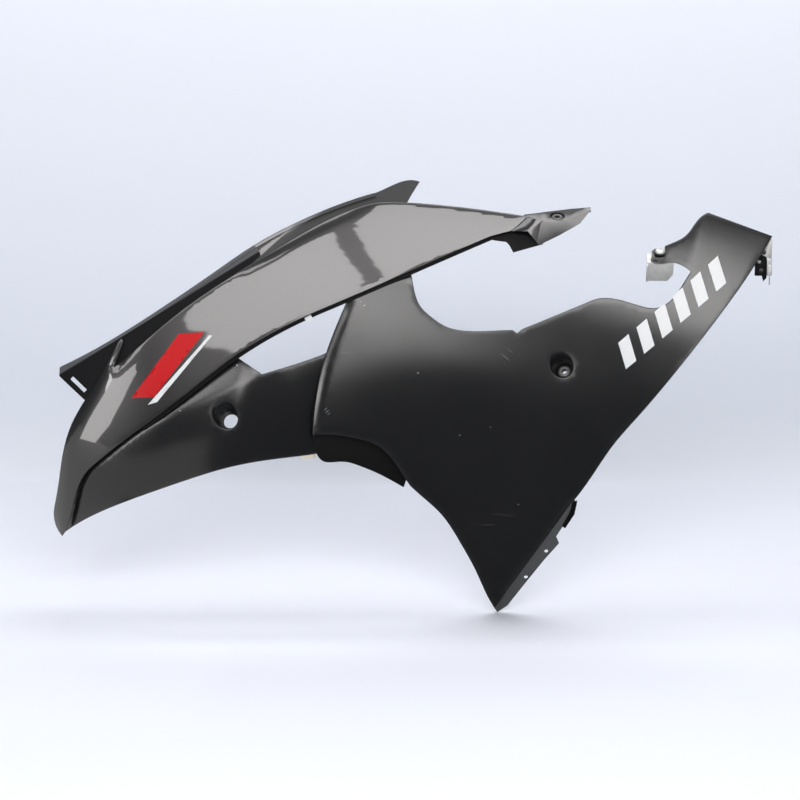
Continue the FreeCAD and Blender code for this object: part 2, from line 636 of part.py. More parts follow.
def arm_screw():
    under = -WASHER_WALL - 2 * SNAP_GAP
    top = under - ARM_HEAD_HEIGHT
    edge = ARM_HEAD_RADIUS * 0.55
    waist = (under - ARM_HEAD_HEIGHT * 0.6, ARM_HEAD_RADIUS * 0.9)
    profile = [(under, 0), (under, ARM_HEAD_RADIUS), waist, (top, edge), (top, 0)]
    head = turned(profile, arm_base(), arm_axis())
    shank = arm_column(ARM_BOLT_RADIUS, under - 0.5, NUT_TOP + NUT_HEIGHT + ARM_BOLT_RADIUS)
    mouth = arm_base() + arm_axis() * (top - 1)
    socket = many_sided(ARM_SOCKET_RADIUS, 6, ARM_SOCKET_DEPTH + 1, mouth, arm_axis())
    return head.fuse(shank).removeSplitter().cut(socket)


def arm_washer():
    ring = arm_column(WASHER_RADIUS, -WASHER_WALL - SNAP_GAP, -SNAP_GAP)
    return ring.cut(arm_column(BOLT_HOLE, -20, 20))


def arm_pad():
    top = arm_base() + arm_axis() * PAD_TOP
    ring = many_sided(LUG_RADIUS, 2 * ROUND_SIDES, PAD_WALL, top, arm_axis())
    hole = many_sided(BOLT_HOLE, 2 * ROUND_SIDES, PAD_WALL, top, arm_axis())
    return ring.cut(hole)


def arm_clip():
    """Bent sheet: a plate under the pad, an apron hanging at the front and a flap at its left end."""
    left = -CLIP_WIDTH / 2
    right = CLIP_WIDTH / 2
    top = CLIP_TOP
    low = CLIP_TOP + CLIP_DROP
    front = LUG_RADIUS + CLIP_SHEET
    plate = Part.makeBox(CLIP_WIDTH, 2 * LUG_RADIUS + CLIP_SHEET, CLIP_SHEET, Vector(left, -LUG_RADIUS, top))
    corners = [(left, top), (right, top), (right, low - 9), (right - 7, low), (left, low)]
    polygon = Part.makePolygon([Vector(x, front - CLIP_SHEET, w) for x, w in corners + corners[:1]])
    apron = Part.Face(polygon).extrude(Vector(0, CLIP_SHEET, 0))
    flap = Part.makeBox(CLIP_SHEET, 7, CLIP_DROP - 4, Vector(left, front - CLIP_SHEET, top + 2))
    clip = plate.multiFuse([apron, flap]).removeSplitter()
    clip = clip.cut(Part.makeCylinder(BOLT_HOLE, 60, Vector(0, 0, -20), Vector(0, 0, 1)))
    return arm_frame(clip)


def arm_nut():
    top = arm_base() + arm_axis() * NUT_TOP
    nut = many_sided(NUT_FLATS / math.sqrt(3), 6, NUT_HEIGHT, top, arm_axis(), 15)
    return nut.cut(arm_column(ARM_BOLT_RADIUS + THREAD_GAP, 0, 60))


def plate(points, start, end):
    """Flat plate square to Y between two depths."""
    polygon = Part.makePolygon([Vector(x, start, z) for x, z in points + points[:1]])
    return Part.Face(polygon).extrude(Vector(0, end - start, 0))


RETAINER_FRONT = STAY_BACK + SNAP_GAP
RETAINER_BACK = RETAINER_FRONT + RETAINER_WALL
REAR_CLIP_FRONT = RETAINER_BACK + SNAP_GAP
REAR_CLIP_BACK = REAR_CLIP_FRONT + STAY_SHEET


def rear_stay():
    stay = plate(STAY_EDGE, REAR_Y, STAY_BACK)
    stay = stay.cut(STAY_PLACE.hole)
    return stay.cut(post(STAY_RIVET[0], STAY_RIVET[1], RIVET_RADIUS + HOLE_GAP))


def rear_retainer():
    body_plate = plate(RETAINER_EDGE, RETAINER_FRONT, RETAINER_BACK)
    body_plate = body_plate.cut(post(RETAINER_HOLE[0], RETAINER_HOLE[1], RETAINER_HOLE_RADIUS))
    for x, z in (STAY_RIVET, CLIP_RIVET):
        body_plate = body_plate.cut(post(x, z, RIVET_RADIUS + HOLE_GAP))
    return body_plate


def rear_spring_clip():
    """Z-section strip: a leg riveted behind the retainer, a web past its edge and a flange in front."""
    edge = RETAINER_EDGE[1][0] + SNAP_GAP
    low = RETAINER_EDGE[2][1] + 3.5
    high = low + 20
    leg = plate([(edge - 12, low), (edge, low), (edge, high), (edge - 12, high)],
                REAR_CLIP_FRONT, REAR_CLIP_BACK)
    web = plate([(edge, low), (edge + STAY_SHEET, low), (edge + STAY_SHEET, high), (edge, high)],
                REAR_Y - STAY_SHEET, REAR_CLIP_BACK)
    flange = plate([(edge, low), (edge + 6, low), (edge + 6, high), (edge, high)],
                   REAR_Y - STAY_SHEET, REAR_Y)
    tail = plate([(edge + 2.5, low - 12), (edge + 4, low - 12), (edge + 4, low), (edge + 2.5, low)],
                 REAR_Y - STAY_SHEET, REAR_Y)
    clip = leg.multiFuse([web, flange, tail]).removeSplitter()
    clip = clip.cut(post(edge + 3.5, low + 13, RIVET_RADIUS))
    return clip.cut(post(CLIP_RIVET[0], CLIP_RIVET[1], RIVET_RADIUS + HOLE_GAP))


def rivet(place, start, end):
    shank = rod(place, RIVET_RADIUS, start, end)
    front = rod(place, RIVET_HEAD_RADIUS, start - RIVET_HEAD, start)
    back = rod(place, RIVET_HEAD_RADIUS, end, end + RIVET_HEAD)
    return shank.multiFuse([front, back]).removeSplitter()


def rear_rivets():
    stay_rivet = rivet(STAY_RIVET, REAR_Y, RETAINER_BACK)
    clip_rivet = rivet(CLIP_RIVET, RETAINER_FRONT, REAR_CLIP_BACK)
    return Part.makeCompound([stay_rivet, clip_rivet])


def belly_clip():
    """Channel over the free edge of the belly flange."""
    outer = FLANGE_DEPTH - SNAP_GAP
    inner = FLANGE_DEPTH + MATTE_WALL + SNAP_GAP
    clip = layer(BODY_SKIN, outer - SNAP_SHEET, inner + SNAP_SHEET).common(prism(*chain(BELLY_CLIP_EDGE)))
    root = moved(BELLY_EDGE[:-1], -6, 3) + BELLY_EDGE[-1:]
    edge = moved(list(reversed(FLANGE_EDGE)), SNAP_GAP, -SNAP_GAP)
    groove = prism(root, [root[-1], edge[0]], *chain(edge))
    return clip.cut(layer(BODY_SKIN, outer, inner).common(groove))


def heat_foil():
    front = LOWER_BACK + SNAP_GAP
    return layer(BODY_SKIN, front, front + FOIL_WALL).common(prism(*chain(FOIL_EDGE)))


def foam_tape():
    front = FRONT_DEPTH + MATTE_WALL + SNAP_GAP
    return layer(FRONT_SKIN, front, front + TAPE_WALL).common(prism(*chain(TAPE_EDGE)))


def seam_clip():
    """Channel snapped over the rail's lip."""
    def strip(low, high):
        ends = [(SNAP_PLACE[0] + d * SEAM_COS, SNAP_PLACE[1] + d * SEAM_SIN) for d in (-SNAP_HALF, SNAP_HALF)]
        a, b = shifted(ends, low)
        d, c = shifted(ends, high)
        return prism([a, b], [b, c], [c, d], [d, a])
    lip = -RAIL_LIP - SNAP_GAP - RAIL_SAG
    outer = INNER_DEPTH - SNAP_GAP
    inner = RAIL_BACK + SNAP_GAP
    whole = layer(BODY_SKIN, outer - SNAP_SHEET, inner + SNAP_SHEET)
    clip = whole.common(strip(lip - SNAP_SHEET, lip - SNAP_SHEET + SNAP_REACH))
    return clip.cut(layer(BODY_SKIN, outer, inner).common(strip(lip, lip + 30)))


FIX_GROMMET, FIX_COLLAR, FIX_HOLE_RADIUS = bushes(well_base() + FIX_AXIS * WELL_DEPTH, FIX_AXIS, WELL_WALL)
TIP_GROMMET, TIP_COLLAR, TIP_HOLE_RADIUS = bushes(tip_fixing() + SHELF_IN * TIP_RECESS, SHELF_IN, WELL_WALL)

nodes = {}
nodes["upper_side_panel"] = upper_side_panel()
nodes["upper_inner_panel"] = upper_inner_panel()
nodes["seam_rail"] = seam_rail()
nodes["front_lower_panel"] = front_lower_panel()
nodes["lower_side_panel"] = lower_side_panel()
nodes["scoop_liner"] = scoop_liner()
screw_places = INNER_PLACES + RAIL_PLACES + FRONT_PLACES + NECK_PLACES + LAP_PLACES + LINER_PLACES
screw_places = screw_places + [STAY_PLACE]
nodes["panel_screws"] = Part.makeCompound([place.screw for place in screw_places])
nodes["grommets"] = Part.makeCompound([FIX_GROMMET, TIP_GROMMET])
nodes["collars"] = Part.makeCompound([FIX_COLLAR, TIP_COLLAR])
nodes["arm_screw"] = arm_screw()
nodes["arm_washer"] = arm_washer()
nodes["arm_pad"] = arm_pad()
nodes["arm_clip"] = arm_clip()
nodes["arm_nut"] = arm_nut()
nodes["rear_stay"] = rear_stay()
nodes["rear_retainer"] = rear_retainer()
nodes["rear_spring_clip"] = rear_spring_clip()
nodes["rear_rivets"] = rear_rivets()
nodes["belly_clip"] = belly_clip()
nodes["heat_foil"] = heat_foil()
nodes["foam_tape"] = foam_tape()
nodes["seam_clip"] = seam_clip()

os.makedirs("parts", exist_ok=True)
origin = well_base() + FIX_AXIS * (WELL_DEPTH + WELL_WALL / 2)
for name, shape in nodes.items():
    placed = shape.copy()
    placed.translate(Vector(0, 0, 0) - origin)
    placed.exportStep("parts/" + name + ".step")
    print(name, len(placed.Solids), placed.isValid(), round(placed.Volume))
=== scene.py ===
import math

import bpy
import numpy as np
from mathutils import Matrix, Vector
from mathutils.geometry import delaunay_2d_cdt


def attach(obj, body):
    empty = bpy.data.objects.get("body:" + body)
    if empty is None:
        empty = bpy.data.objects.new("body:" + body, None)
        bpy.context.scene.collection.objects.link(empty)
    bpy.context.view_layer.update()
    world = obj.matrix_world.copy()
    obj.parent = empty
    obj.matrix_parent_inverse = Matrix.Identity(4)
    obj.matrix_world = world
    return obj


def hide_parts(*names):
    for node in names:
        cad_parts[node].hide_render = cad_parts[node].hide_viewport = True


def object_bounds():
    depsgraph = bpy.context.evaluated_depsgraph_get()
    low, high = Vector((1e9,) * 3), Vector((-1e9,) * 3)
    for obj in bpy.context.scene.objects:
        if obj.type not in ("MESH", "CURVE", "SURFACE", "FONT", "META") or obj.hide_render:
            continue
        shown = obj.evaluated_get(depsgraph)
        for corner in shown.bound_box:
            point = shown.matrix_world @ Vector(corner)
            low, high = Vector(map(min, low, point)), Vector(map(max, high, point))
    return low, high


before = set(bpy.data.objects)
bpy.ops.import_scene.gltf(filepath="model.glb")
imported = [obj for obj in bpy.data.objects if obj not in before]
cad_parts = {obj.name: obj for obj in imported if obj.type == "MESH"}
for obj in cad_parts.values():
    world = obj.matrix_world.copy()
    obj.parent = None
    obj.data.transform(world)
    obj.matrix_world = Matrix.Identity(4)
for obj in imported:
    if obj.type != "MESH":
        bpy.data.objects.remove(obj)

CAD_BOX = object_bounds()

bl_info = {
    "name": "Side Fairing Dresser",
    "version": (1, 0, 0),
    "blender": (4, 5, 0),
    "location": "View3D > Sidebar > Fairing",
    "description": "Dresses a motorcycle side fairing with moulded skins, finishes and a studio",
    "category": "Object",
}

MM = 1000.0  # millimetres in a metre

# The body form that every panel follows, in millimetres: X and Z give the depth inboard
FORM_ORIGIN = (3.8583, 31.8478, -10.7393)
SEAM_START = (-341.0, 49.0)
SEAM_RISE = math.radians(29.9)
FORM_BLEND = 80.0
RIDGE_RISE = -40.0  # the form's highest line over the seam, and how it falls behind a bend
RIDGE_BEND = 80.0
RIDGE_FALL = 0.75
RIDGE_DIAMETER = 1300.0
NOSE_RUN = -180.0
NOSE_DIAMETER = 400.0
TAIL_RUN = 150.0
TAIL_DIAMETER = 4600.0
FRONT_ROLL_RISE = -45.0
FRONT_ROLL_DIAMETER = 400.0

# Depths of the panels on the form and thicknesses of their sheets, in millimetres
PAINTED_DEPTH = 0.0
INNER_DEPTH = 8.0
LOWER_DEPTH = 10.8
FRONT_DEPTH = 18.8
LINER_DEPTH = 25.8
THICK_SHEET = 3.0
THIN_SHEET = 2.5
THIN_RIM = 0.5
INNER_RIM = 0.6

# How skins are found on a solid and rebuilt, in millimetres
SKIN_AREA = 400.0
SKIN_SLACK = 0.6
SHEET_SLACK = 0.3
BACK_SLACK = 0.2
POINT_SPACING = 0.12
RIM_STEPS = 4
RIM_WEAR = 1.8
ROLL_BLEND = 18.0
BLOCK = 2000  # points measured at a time
ROW_STEP = 0.866  # grid rows and clearance from the edge, in pitches
EDGE_CLEAR = 0.55
MITRE_LEAST = 0.6
FACING_MOST = 0.3


def eased(distance):
    """A distance that fades smoothly to nothing below zero."""
    return (distance + np.hypot(distance, FORM_BLEND)) / 2


def along_seam(x, z):
    """Distances along the seam and up from it."""
    dx = x + FORM_ORIGIN[0] - SEAM_START[0]
    dz = z + FORM_ORIGIN[2] - SEAM_START[1]
    run = dx * math.cos(SEAM_RISE) + dz * math.sin(SEAM_RISE)
    rise = dz * math.cos(SEAM_RISE) - dx * math.sin(SEAM_RISE)
    return run, rise


def body_form(x, z):
    """Depth of the shared body form."""
    run, rise = along_seam(x, z)
    ridge = RIDGE_RISE - RIDGE_FALL * eased(run - RIDGE_BEND)
    crown = (rise - ridge) ** 2 / RIDGE_DIAMETER
    nose = eased(NOSE_RUN - run) ** 2 / NOSE_DIAMETER
    tail = eased(run - TAIL_RUN) ** 2 / TAIL_DIAMETER
    return crown + nose + tail - FORM_ORIGIN[1]


def front_form(x, z):
    """The body form with the roll of the front lower panel."""
    rise = along_seam(x, z)[1]
    return body_form(x, z) + (rise - FRONT_ROLL_RISE) ** 2 / FRONT_ROLL_DIAMETER


# Reading and rebuilding panel skins


def distances(points, starts, ends):
    """Distance from each point to its nearest segment, that segment's index and the place on it."""
    along = ends - starts
    length = np.maximum((along ** 2).sum(axis=1), 1e-12)
    away = points[:, None, :] - starts[None]
    place = np.clip((away * along[None]).sum(axis=2) / length[None], 0, 1)
    gap = np.linalg.norm(away - place[:, :, None] * along[None], axis=2)
    nearest = gap.argmin(axis=1)
    rows = np.arange(len(points))
    return gap[rows, nearest], nearest, place[rows, nearest]


def inside(points, starts, ends):
    """Even-odd test of points against closed loops of segments."""
    px = points[:, None, 0]
    pz = points[:, None, 1]
    crosses = (starts[None, :, 1] > pz) != (ends[None, :, 1] > pz)
    rise = np.where(ends[:, 1] == starts[:, 1], 1e-12, ends[:, 1] - starts[:, 1])
    at = starts[None, :, 0] + (pz - starts[None, :, 1]) / rise[None] * (ends[:, 0] - starts[:, 0])[None]
    return (crosses & (px < at)).sum(axis=1) % 2 == 1


def segments(loops):
    """Start and end points of the segments of closed loops."""
    starts = np.vstack(loops)
    ends = np.vstack([np.roll(loop, -1, axis=0) for loop in loops])
    return starts, ends


def in_blocks(points):
    """The points in blocks small enough to measure at once."""
    return np.array_split(points, max(1, len(points) // BLOCK))


def raised(flat, depth):
    """Points of the side view at their depths."""
    return np.stack([flat[:, 0], depth, flat[:, 1]], axis=1)


def lengths(runs, least=1e-9):
    """Lengths of vectors, never quite zero."""
    return np.maximum(np.linalg.norm(runs, axis=1), least)[:, None]


def crossed(corners):
    """Normals of triangles, twice their area long."""
    return np.cross(corners[:, 1] - corners[:, 0], corners[:, 2] - corners[:, 0])


class NodeFaces:
    """A solid's mesh in millimetres, with its triangles grouped by the face they belong to."""

    def __init__(self, name):
        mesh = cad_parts[name].data
        flat = np.empty(len(mesh.vertices) * 3)
        mesh.vertices.foreach_get("co", flat)
        self.points = flat.reshape(-1, 3) * MM
        self.triangles = np.array([p.vertices[:] for p in mesh.polygons])
        label = np.arange(len(self.points))
        while True:
            lowest = label[self.triangles].min(axis=1)
            fresh = label.copy()
            np.minimum.at(fresh, self.triangles.ravel(), np.repeat(lowest, 3))
            fresh = fresh[fresh]
            if (fresh == label).all():
                break
            label = fresh
        self.face_of = label[self.triangles[:, 0]]

    def skins(self, form, depth):
        """Labels of the large faces that lie on a form at a depth."""
        off = np.abs(self.points[:, 1] - form(self.points[:, 0], self.points[:, 2]) - depth)
        area = np.linalg.norm(crossed(self.points[self.triangles]), axis=1) / 2
        found = []
        for name in np.unique(self.face_of):
            mine = self.face_of == name
            if area[mine].sum() > SKIN_AREA and off[self.triangles[mine]].max() < SKIN_SLACK:
                found.append(name)
        return found

    def faces_outboard(self, name):
        """Whether one face looks to the outer side."""
        return crossed(self.points[self.triangles[self.face_of == name]])[:, 1].sum() < 0

    def loops(self, name):
        """Closed edge loops of one face as point indexes, the outer one first."""
        edges = {}
        for a, b, c in self.triangles[self.face_of == name]:
            for start, end in ((a, b), (b, c), (c, a)):
                if not edges.pop((end, start), False):
                    edges[(start, end)] = True
        after = {}
        for start, end in edges:
            after.setdefault(start, []).append(end)
        loops = []
        while after:
            start = next(iter(after))
            loop = [start]
            while True:
                ends = after[loop[-1]]
                end = ends.pop()
                if not ends:
                    del after[loop[-1]]
                if end == start or end not in after:
                    break
                loop.append(end)
            if len(loop) > 2:
                loops.append(loop)
        return sorted(loops, key=lambda loop: -abs(turn(self.points[loop][:, [0, 2]])))


def turn(loop):
    """Signed area of a loop."""
    nxt = np.roll(loop, -1, axis=0)
    return ((loop[:, 0] * nxt[:, 1] - nxt[:, 0] * loop[:, 1]).sum()) / 2


class SoftEdges:
    """Edges of a panel that bend inboard: how far, over what width."""

    def __init__(self, outline, rules):
        self.starts, self.ends = segments([outline])
        along = self.ends - self.starts
        length = lengths(along)
        outward = np.stack([along[:, 1], -along[:, 0]], axis=1) / length
        middle = (self.starts + self.ends) / 2
        self.layers = []
        for chosen, width, drop, power in rules:
            raw = np.array([1.0 if chosen(*m, *o) else 0.0 for m, o in zip(middle, outward)])
            gap = np.linalg.norm(self.starts[:, None] - middle[None], axis=2)
            near = np.exp(-gap ** 2 / (2 * ROLL_BLEND ** 2)) * length.T
            weight = (near * raw[None]).sum(axis=1) / np.maximum(near.sum(axis=1), 1e-12)
            self.layers.append((weight, width, drop, power))

    def at(self, points):
        """How far each point is bent inboard."""
        if not self.layers:
            return np.zeros(len(points))
        gap, nearest, place = distances(points, self.starts, self.ends)
        total = np.zeros(len(points))
        following = (nearest + 1) % len(self.starts)
        for weight, width, drop, power in self.layers:
            here = weight[nearest] * (1 - place) + weight[following] * place
            total += here * drop * np.clip(1 - gap / width, 0, 1) ** power
        return total


class MeshParts:
    """Points, faces and point values gathered for one mesh, in millimetres."""

    def __init__(self):
        self.points = np.zeros((0, 3))
        self.faces = []
        self.rim = np.zeros(0)
        self.outside = np.zeros(0)

    def add(self, points, faces, rim, outside):
        base = len(self.points)
        self.points = np.vstack([self.points, points])
        self.faces += [tuple(base + i for i in face) for face in faces]
        self.rim = np.append(self.rim, np.broadcast_to(rim, len(points)))
        self.outside = np.append(self.outside, np.broadcast_to(outside, len(points)))


def inward(loop):
    """Mitred inward directions at the points of a loop that has its face on the left."""
    back = loop - np.roll(loop, 1, axis=0)
    ahead = np.roll(loop, -1, axis=0) - loop
    sides = []
    for run in (back, ahead):
        sides.append(np.stack([-run[:, 1], run[:, 0]], axis=1) / lengths(run))
    middle = sides[0] + sides[1]
    middle = middle / lengths(middle, 1e-6)
    reach = np.maximum((middle * sides[1]).sum(axis=1), MITRE_LEAST)
    return middle / reach[:, None]


def grid_inside(starts, ends, pitch):
    """Points of a triangular grid inside closed loops and clear of their edges."""
    low = np.minimum(starts.min(axis=0), ends.min(axis=0))
    high = np.maximum(starts.max(axis=0), ends.max(axis=0))
    rows = []
    z = low[1] + pitch / 2
    odd = False
    while z < high[1]:
        x = np.arange(low[0] + (pitch / 2 if odd else 0), high[0], pitch)
        rows.append(np.stack([x, np.full(len(x), z)], axis=1))
        z += pitch * ROW_STEP
        odd = not odd
    points = np.vstack(rows)
    kept = []
    for block in in_blocks(points):
        block = block[inside(block, starts, ends)]
        if len(block):
            gap = distances(block, starts, ends)[0]
            kept.append(block[gap > pitch * EDGE_CLEAR])
    return np.vstack(kept) if kept else np.zeros((0, 2))


def filled(loops, pitch):
    """Fine triangles inside closed loops: flat points and faces that turn left."""
    starts, ends = segments(loops)
    points = np.vstack(loops + [grid_inside(starts, ends, pitch)])
    edges = []
    base = 0
    for loop in loops:
        edges += [(base + i, base + (i + 1) % len(loop)) for i in range(len(loop))]
        base += len(loop)
    made = delaunay_2d_cdt([Vector(p) for p in points], edges, [], 0, 1e-5)
    flat = np.array([tuple(v) for v in made[0]])
    faces = np.array([tuple(f) for f in made[2]])
    middle = flat[faces].mean(axis=1)
    faces = faces[inside(middle, starts, ends)]
    right = crossed(raised(flat, np.zeros(len(flat)))[faces])[:, 1] > 0
    faces[right] = faces[right][:, ::-1]
    return flat, faces


def spaced(loop, least):
    """The indexes of a loop's points that keep a least spacing."""
    kept = [0]
    for i in range(1, len(loop)):
        if np.linalg.norm(loop[i] - loop[kept[-1]]) > least:
            kept.append(i)
    if len(kept) > 3 and np.linalg.norm(loop[kept[-1]] - loop[0]) <= least:
        kept.pop()
    return kept


def rim_rings(loop, rim, surface):
    """Rings of points from a wall over a rounded rim onto the skin."""
    side = inward(loop)
    rings = []
    for k in range(RIM_STEPS + 1):
        angle = math.pi / 2 * k / RIM_STEPS
        rings.append(surface(loop + side * (rim * (1 - math.cos(angle))), rim * (1 - math.sin(angle))))
    return rings


def ring_faces(count):
    """Quads between rings of so many points each."""
    here = np.arange(count)
    after = np.roll(here, -1)
    quads = np.stack([here, after, count + after, count + here], axis=1)
    return np.vstack([quads + k * count for k in range(RIM_STEPS)])


def panel_mesh(name, form, front, wall, rim, pitch, rules=(), swell=None):
    """Rebuilds a panel: fine skins with a rounded front rim, on the solid's own walls and bosses."""
    node = NodeFaces(name)
    flat = node.points[:, [0, 2]]
    parts = MeshParts()
    front_skins = node.skins(form, front)
    back_skins = node.skins(form, front + wall)
    if not front_skins or not back_skins:
        raise RuntimeError("no skin found on " + name)
    outline = flat[node.loops(front_skins[0])[0]]
    soft = SoftEdges(outline if turn(outline) > 0 else outline[::-1], rules)

    def bend(points):
        extra = soft.at(points)
        return extra if swell is None else extra + swell(points[:, 0], points[:, 1])

    def surface(points, lift=0.0):
        return raised(points, form(points[:, 0], points[:, 1]) + front + lift + bend(points))

    def spaced_loops(label):
        return [flat[[loop[i] for i in spaced(flat[loop], POINT_SPACING)]] for loop in node.loops(label)]

    def place(index):
        return tuple(np.round(node.points[index], 2))

    rimmed = set()
    for label in front_skins:
        rimmed.update(place(i) for loop in node.loops(label) for i in loop)
        loops = spaced_loops(label)
        if turn(loops[0]) < 0:
            loops = [loop[::-1] for loop in loops]
        last = []
        for loop in loops:
            rings = rim_rings(loop, rim, surface)
            parts.add(np.vstack(rings), ring_faces(len(loop)), 1.0, 1.0)
            last.append(rings[-1][:, [0, 2]])
        points, faces = filled(last, pitch)
        starts, ends = segments(last)
        gap = np.concatenate([distances(block, starts, ends)[0] for block in in_blocks(points)])
        parts.add(surface(points), faces, np.clip(1 - gap / RIM_WEAR, 0, 1), 1.0)
    for label in back_skins:
        points, faces = filled(spaced_loops(label), pitch * 2)
        outboard = node.faces_outboard(label)
        parts.add(surface(points, wall), faces if outboard else faces[:, ::-1], 0.0, 1.0 if outboard else 0.0)

    rest = ~np.isin(node.face_of, front_skins + back_skins)
    used = np.unique(node.triangles[rest])
    points = node.points[used].copy()
    depth = points[:, 1] - form(points[:, 0], points[:, 2]) - front
    in_sheet = (depth > -SHEET_SLACK) & (depth < wall + SHEET_SLACK)
    points[in_sheet, 1] += bend(points[in_sheet][:, [0, 2]])
    points[[place(index) in rimmed for index in used], 1] += rim
    fresh = {index: row for row, index in enumerate(used)}
    faces = [tuple(fresh[i] for i in triangle) for triangle in node.triangles[rest]]
    normal = crossed(node.points[node.triangles[rest]])
    normal = normal / lengths(normal)
    facing = np.zeros(len(used))
    for face, n in zip(faces, normal):
        for i in face:
            facing[i] = 1.0 if n[1] < FACING_MOST and depth[i] < wall - BACK_SLACK else 0.0
    parts.add(points, faces, 0.0, facing)
    return parts


def add_object(context, name, data):
    """A new object in the scene."""
    made = bpy.data.objects.new(name, data)
    context.scene.collection.objects.link(made)
    return made


def new_piece(context, name, points, faces):
    """A selected mesh object made from points in millimetres."""
    mesh = bpy.data.meshes.new(name)
    mesh.from_pydata((points / MM).tolist(), [], faces)
    piece = add_object(context, name, mesh)
    only(context, piece)
    return piece


def rebuild(context, name, finish, *sheet, **bends):
    """Makes the welded skin of a panel and lets it stand for its solid."""
    parts = panel_mesh(name, *sheet, **bends)
    piece = new_piece(context, name + "_skin", parts.points, parts.faces)
    for label, values in (("rim", parts.rim), ("outside", parts.outside)):
        layer = piece.data.attributes.new(label, "FLOAT", "POINT")
        layer.data.foreach_set("value", values)
    bpy.ops.object.mode_set(mode="EDIT")
    bpy.ops.mesh.select_all(action="SELECT")
    bpy.ops.mesh.remove_doubles(threshold=0.00004)
    bpy.ops.mesh.dissolve_degenerate(threshold=0.00001)
    bpy.ops.object.mode_set(mode="OBJECT")
    bpy.ops.object.shade_smooth_by_angle(angle=math.radians(38))
    finish_piece(piece, name, finishes(context)[finish])


def only(context, piece):
    """Leaves one object selected and active."""
    bpy.ops.object.select_all(action="DESELECT")
    piece.select_set(True)
    context.view_layer.objects.active = piece


def finish_piece(piece, node, material):
    """Gives a piece its finish, its body and the solid that it stands for."""
    piece.data.materials.clear()
    piece.data.materials.append(material)
    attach(piece, "root")
    if node:
        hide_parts(node)


def eased_copy(context, node, radius, material):
    """A welded copy of a small solid with its sharp edges rounded."""
    piece = add_object(context, node + "_eased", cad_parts[node].data.copy())
    only(context, piece)
    bpy.ops.object.mode_set(mode="EDIT")
    bpy.ops.mesh.select_all(action="SELECT")
    bpy.ops.mesh.remove_doubles(threshold=0.00002)
    bpy.ops.mesh.dissolve_limited(angle_limit=math.radians(1))
    bpy.ops.object.mode_set(mode="OBJECT")
    bevel = piece.modifiers.new("Eased edges", "BEVEL")
    bevel.width = radius
    bevel.segments = 2
    bevel.limit_method = "ANGLE"
    bevel.angle_limit = math.radians(35)
    bpy.ops.object.modifier_apply(modifier=bevel.name)
    bpy.ops.object.shade_smooth_by_angle(angle=math.radians(40))
    finish_piece(piece, node, material)


# Finishes

FLAKE_SCALE = 1500.0
BARE_PLASTIC = (0.02, 0.02, 0.021)
PALE_SPECK = (0.45, 0.45, 0.45)
PALE_SCUFF = (0.35, 0.35, 0.34)
PALE_MARK = (0.45, 0.45, 0.44)
# Painted highlight: lighter grey for the lower panel's belly flange
LIT_FLANGE_GREY = (0.066, 0.066, 0.066)
INNER_BLACK = (0.009, 0.009, 0.0095)
# Painted highlight: paler grey for the inner panel's top flange where it faces the light
LIT_STRIP_GREY = (0.095, 0.095, 0.098)
# Lines in the side view that bound a finish, in millimetres: the belly flange painted as a highlight, the
# satin black painted as shade on the fin, and the top strip painted as a highlight
FLANGE_LINE = ((-75.5, -314.0), (7.4, -177.7))
SATIN_SHADE_LINE = ((-388.9, 142.0), (-332.6, 192.0))
TOP_LINE = ((-633.0, 7.0), (-383.0, 162.5))
# Round end of the inner panel's black tongue: its centre in metres, its lie in degrees
TONGUE_END = (-0.394, 0.1475)
TONGUE_LIE = 41.0
# Single specks and scuffs: x, z, half length, half width in metres, lie in degrees, strength
PLACED_MARKS = (
    (-0.252, 0.087, 0.0011, 0.0009, 0.0, 0.9), (-0.185, 0.002, 0.0012, 0.0008, 20.0, 0.8),
    (-0.412, 0.011, 0.0009, 0.0008, 0.0, 0.8), (-0.484, -0.046, 0.0009, 0.0008, 0.0, 0.8),
    (-0.132, -0.079, 0.0012, 0.0007, 0.0, 0.4), (-0.301, -0.044, 0.0030, 0.0005, 40.0, 0.30),
    (-0.299, -0.047, 0.0034, 0.0005, 40.0, 0.35), (-0.297, -0.050, 0.0028, 0.0005, 40.0, 0.25),
    (-0.076, 0.022, 0.0085, 0.0007, -38.0, 0.16), (-0.070, 0.030, 0.0060, 0.0005, -34.0, 0.12),
    (-0.259, 0.094, 0.0060, 0.0006, -40.0, 0.16),
)


def new_tree(name):
    """A new material, its nodes and its shader."""
    material = bpy.data.materials.new(name)
    material.use_nodes = True
    tree = material.node_tree
    return material, tree, tree.nodes["Principled BSDF"]


def feed(tree, node, values):
    """Links sockets to a node's inputs, or sets plain values on them."""
    for key, value in values.items():
        if isinstance(value, bpy.types.NodeSocket):
            tree.links.new(value, node.inputs[key])
        else:
            node.inputs[key].default_value = value


def add_node(tree, kind, inputs=None, **settings):
    """A new node with its settings and inputs."""
    node = tree.nodes.new("ShaderNode" + kind)
    for key, value in settings.items():
        setattr(node, key, value)
    feed(tree, node, inputs or {})
    return node


def mix(tree, factor, first, second, blend="MIX"):
    """A second colour mixed into a first."""
    node = add_node(tree, "Mix", data_type="RGBA", blend_type=blend)
    pair = [c if isinstance(c, bpy.types.NodeSocket) else (*c, 1.0) for c in (first, second)]
    feed(tree, node, {0: factor, 6: pair[0], 7: pair[1]})
    return node.outputs[2]


def ramp(tree, value, low, high, start=0.0, end=1.0):
    """A value mapped from one range to another."""
    return add_node(tree, "MapRange", {
        "Value": value, "From Min": low, "From Max": high, "To Min": start, "To Max": end}).outputs[0]


def maths(tree, operation, first, second=0.0):
    """The result of an operation on two values."""
    return add_node(tree, "Math", {0: first, 1: second}, operation=operation).outputs[0]


def product(tree, first, second):
    """One value times another."""
    return maths(tree, "MULTIPLY", first, second)


def squares(tree, first, second):
    """The sum of two squares."""
    return maths(tree, "ADD", product(tree, first, first), product(tree, second, second))


def object_place(tree):
    """Object coordinates."""
    return add_node(tree, "TexCoord").outputs["Object"]


def object_axes(tree, place):
    """The single axes of a place."""
    return add_node(tree, "SeparateXYZ", {"Vector": place}).outputs


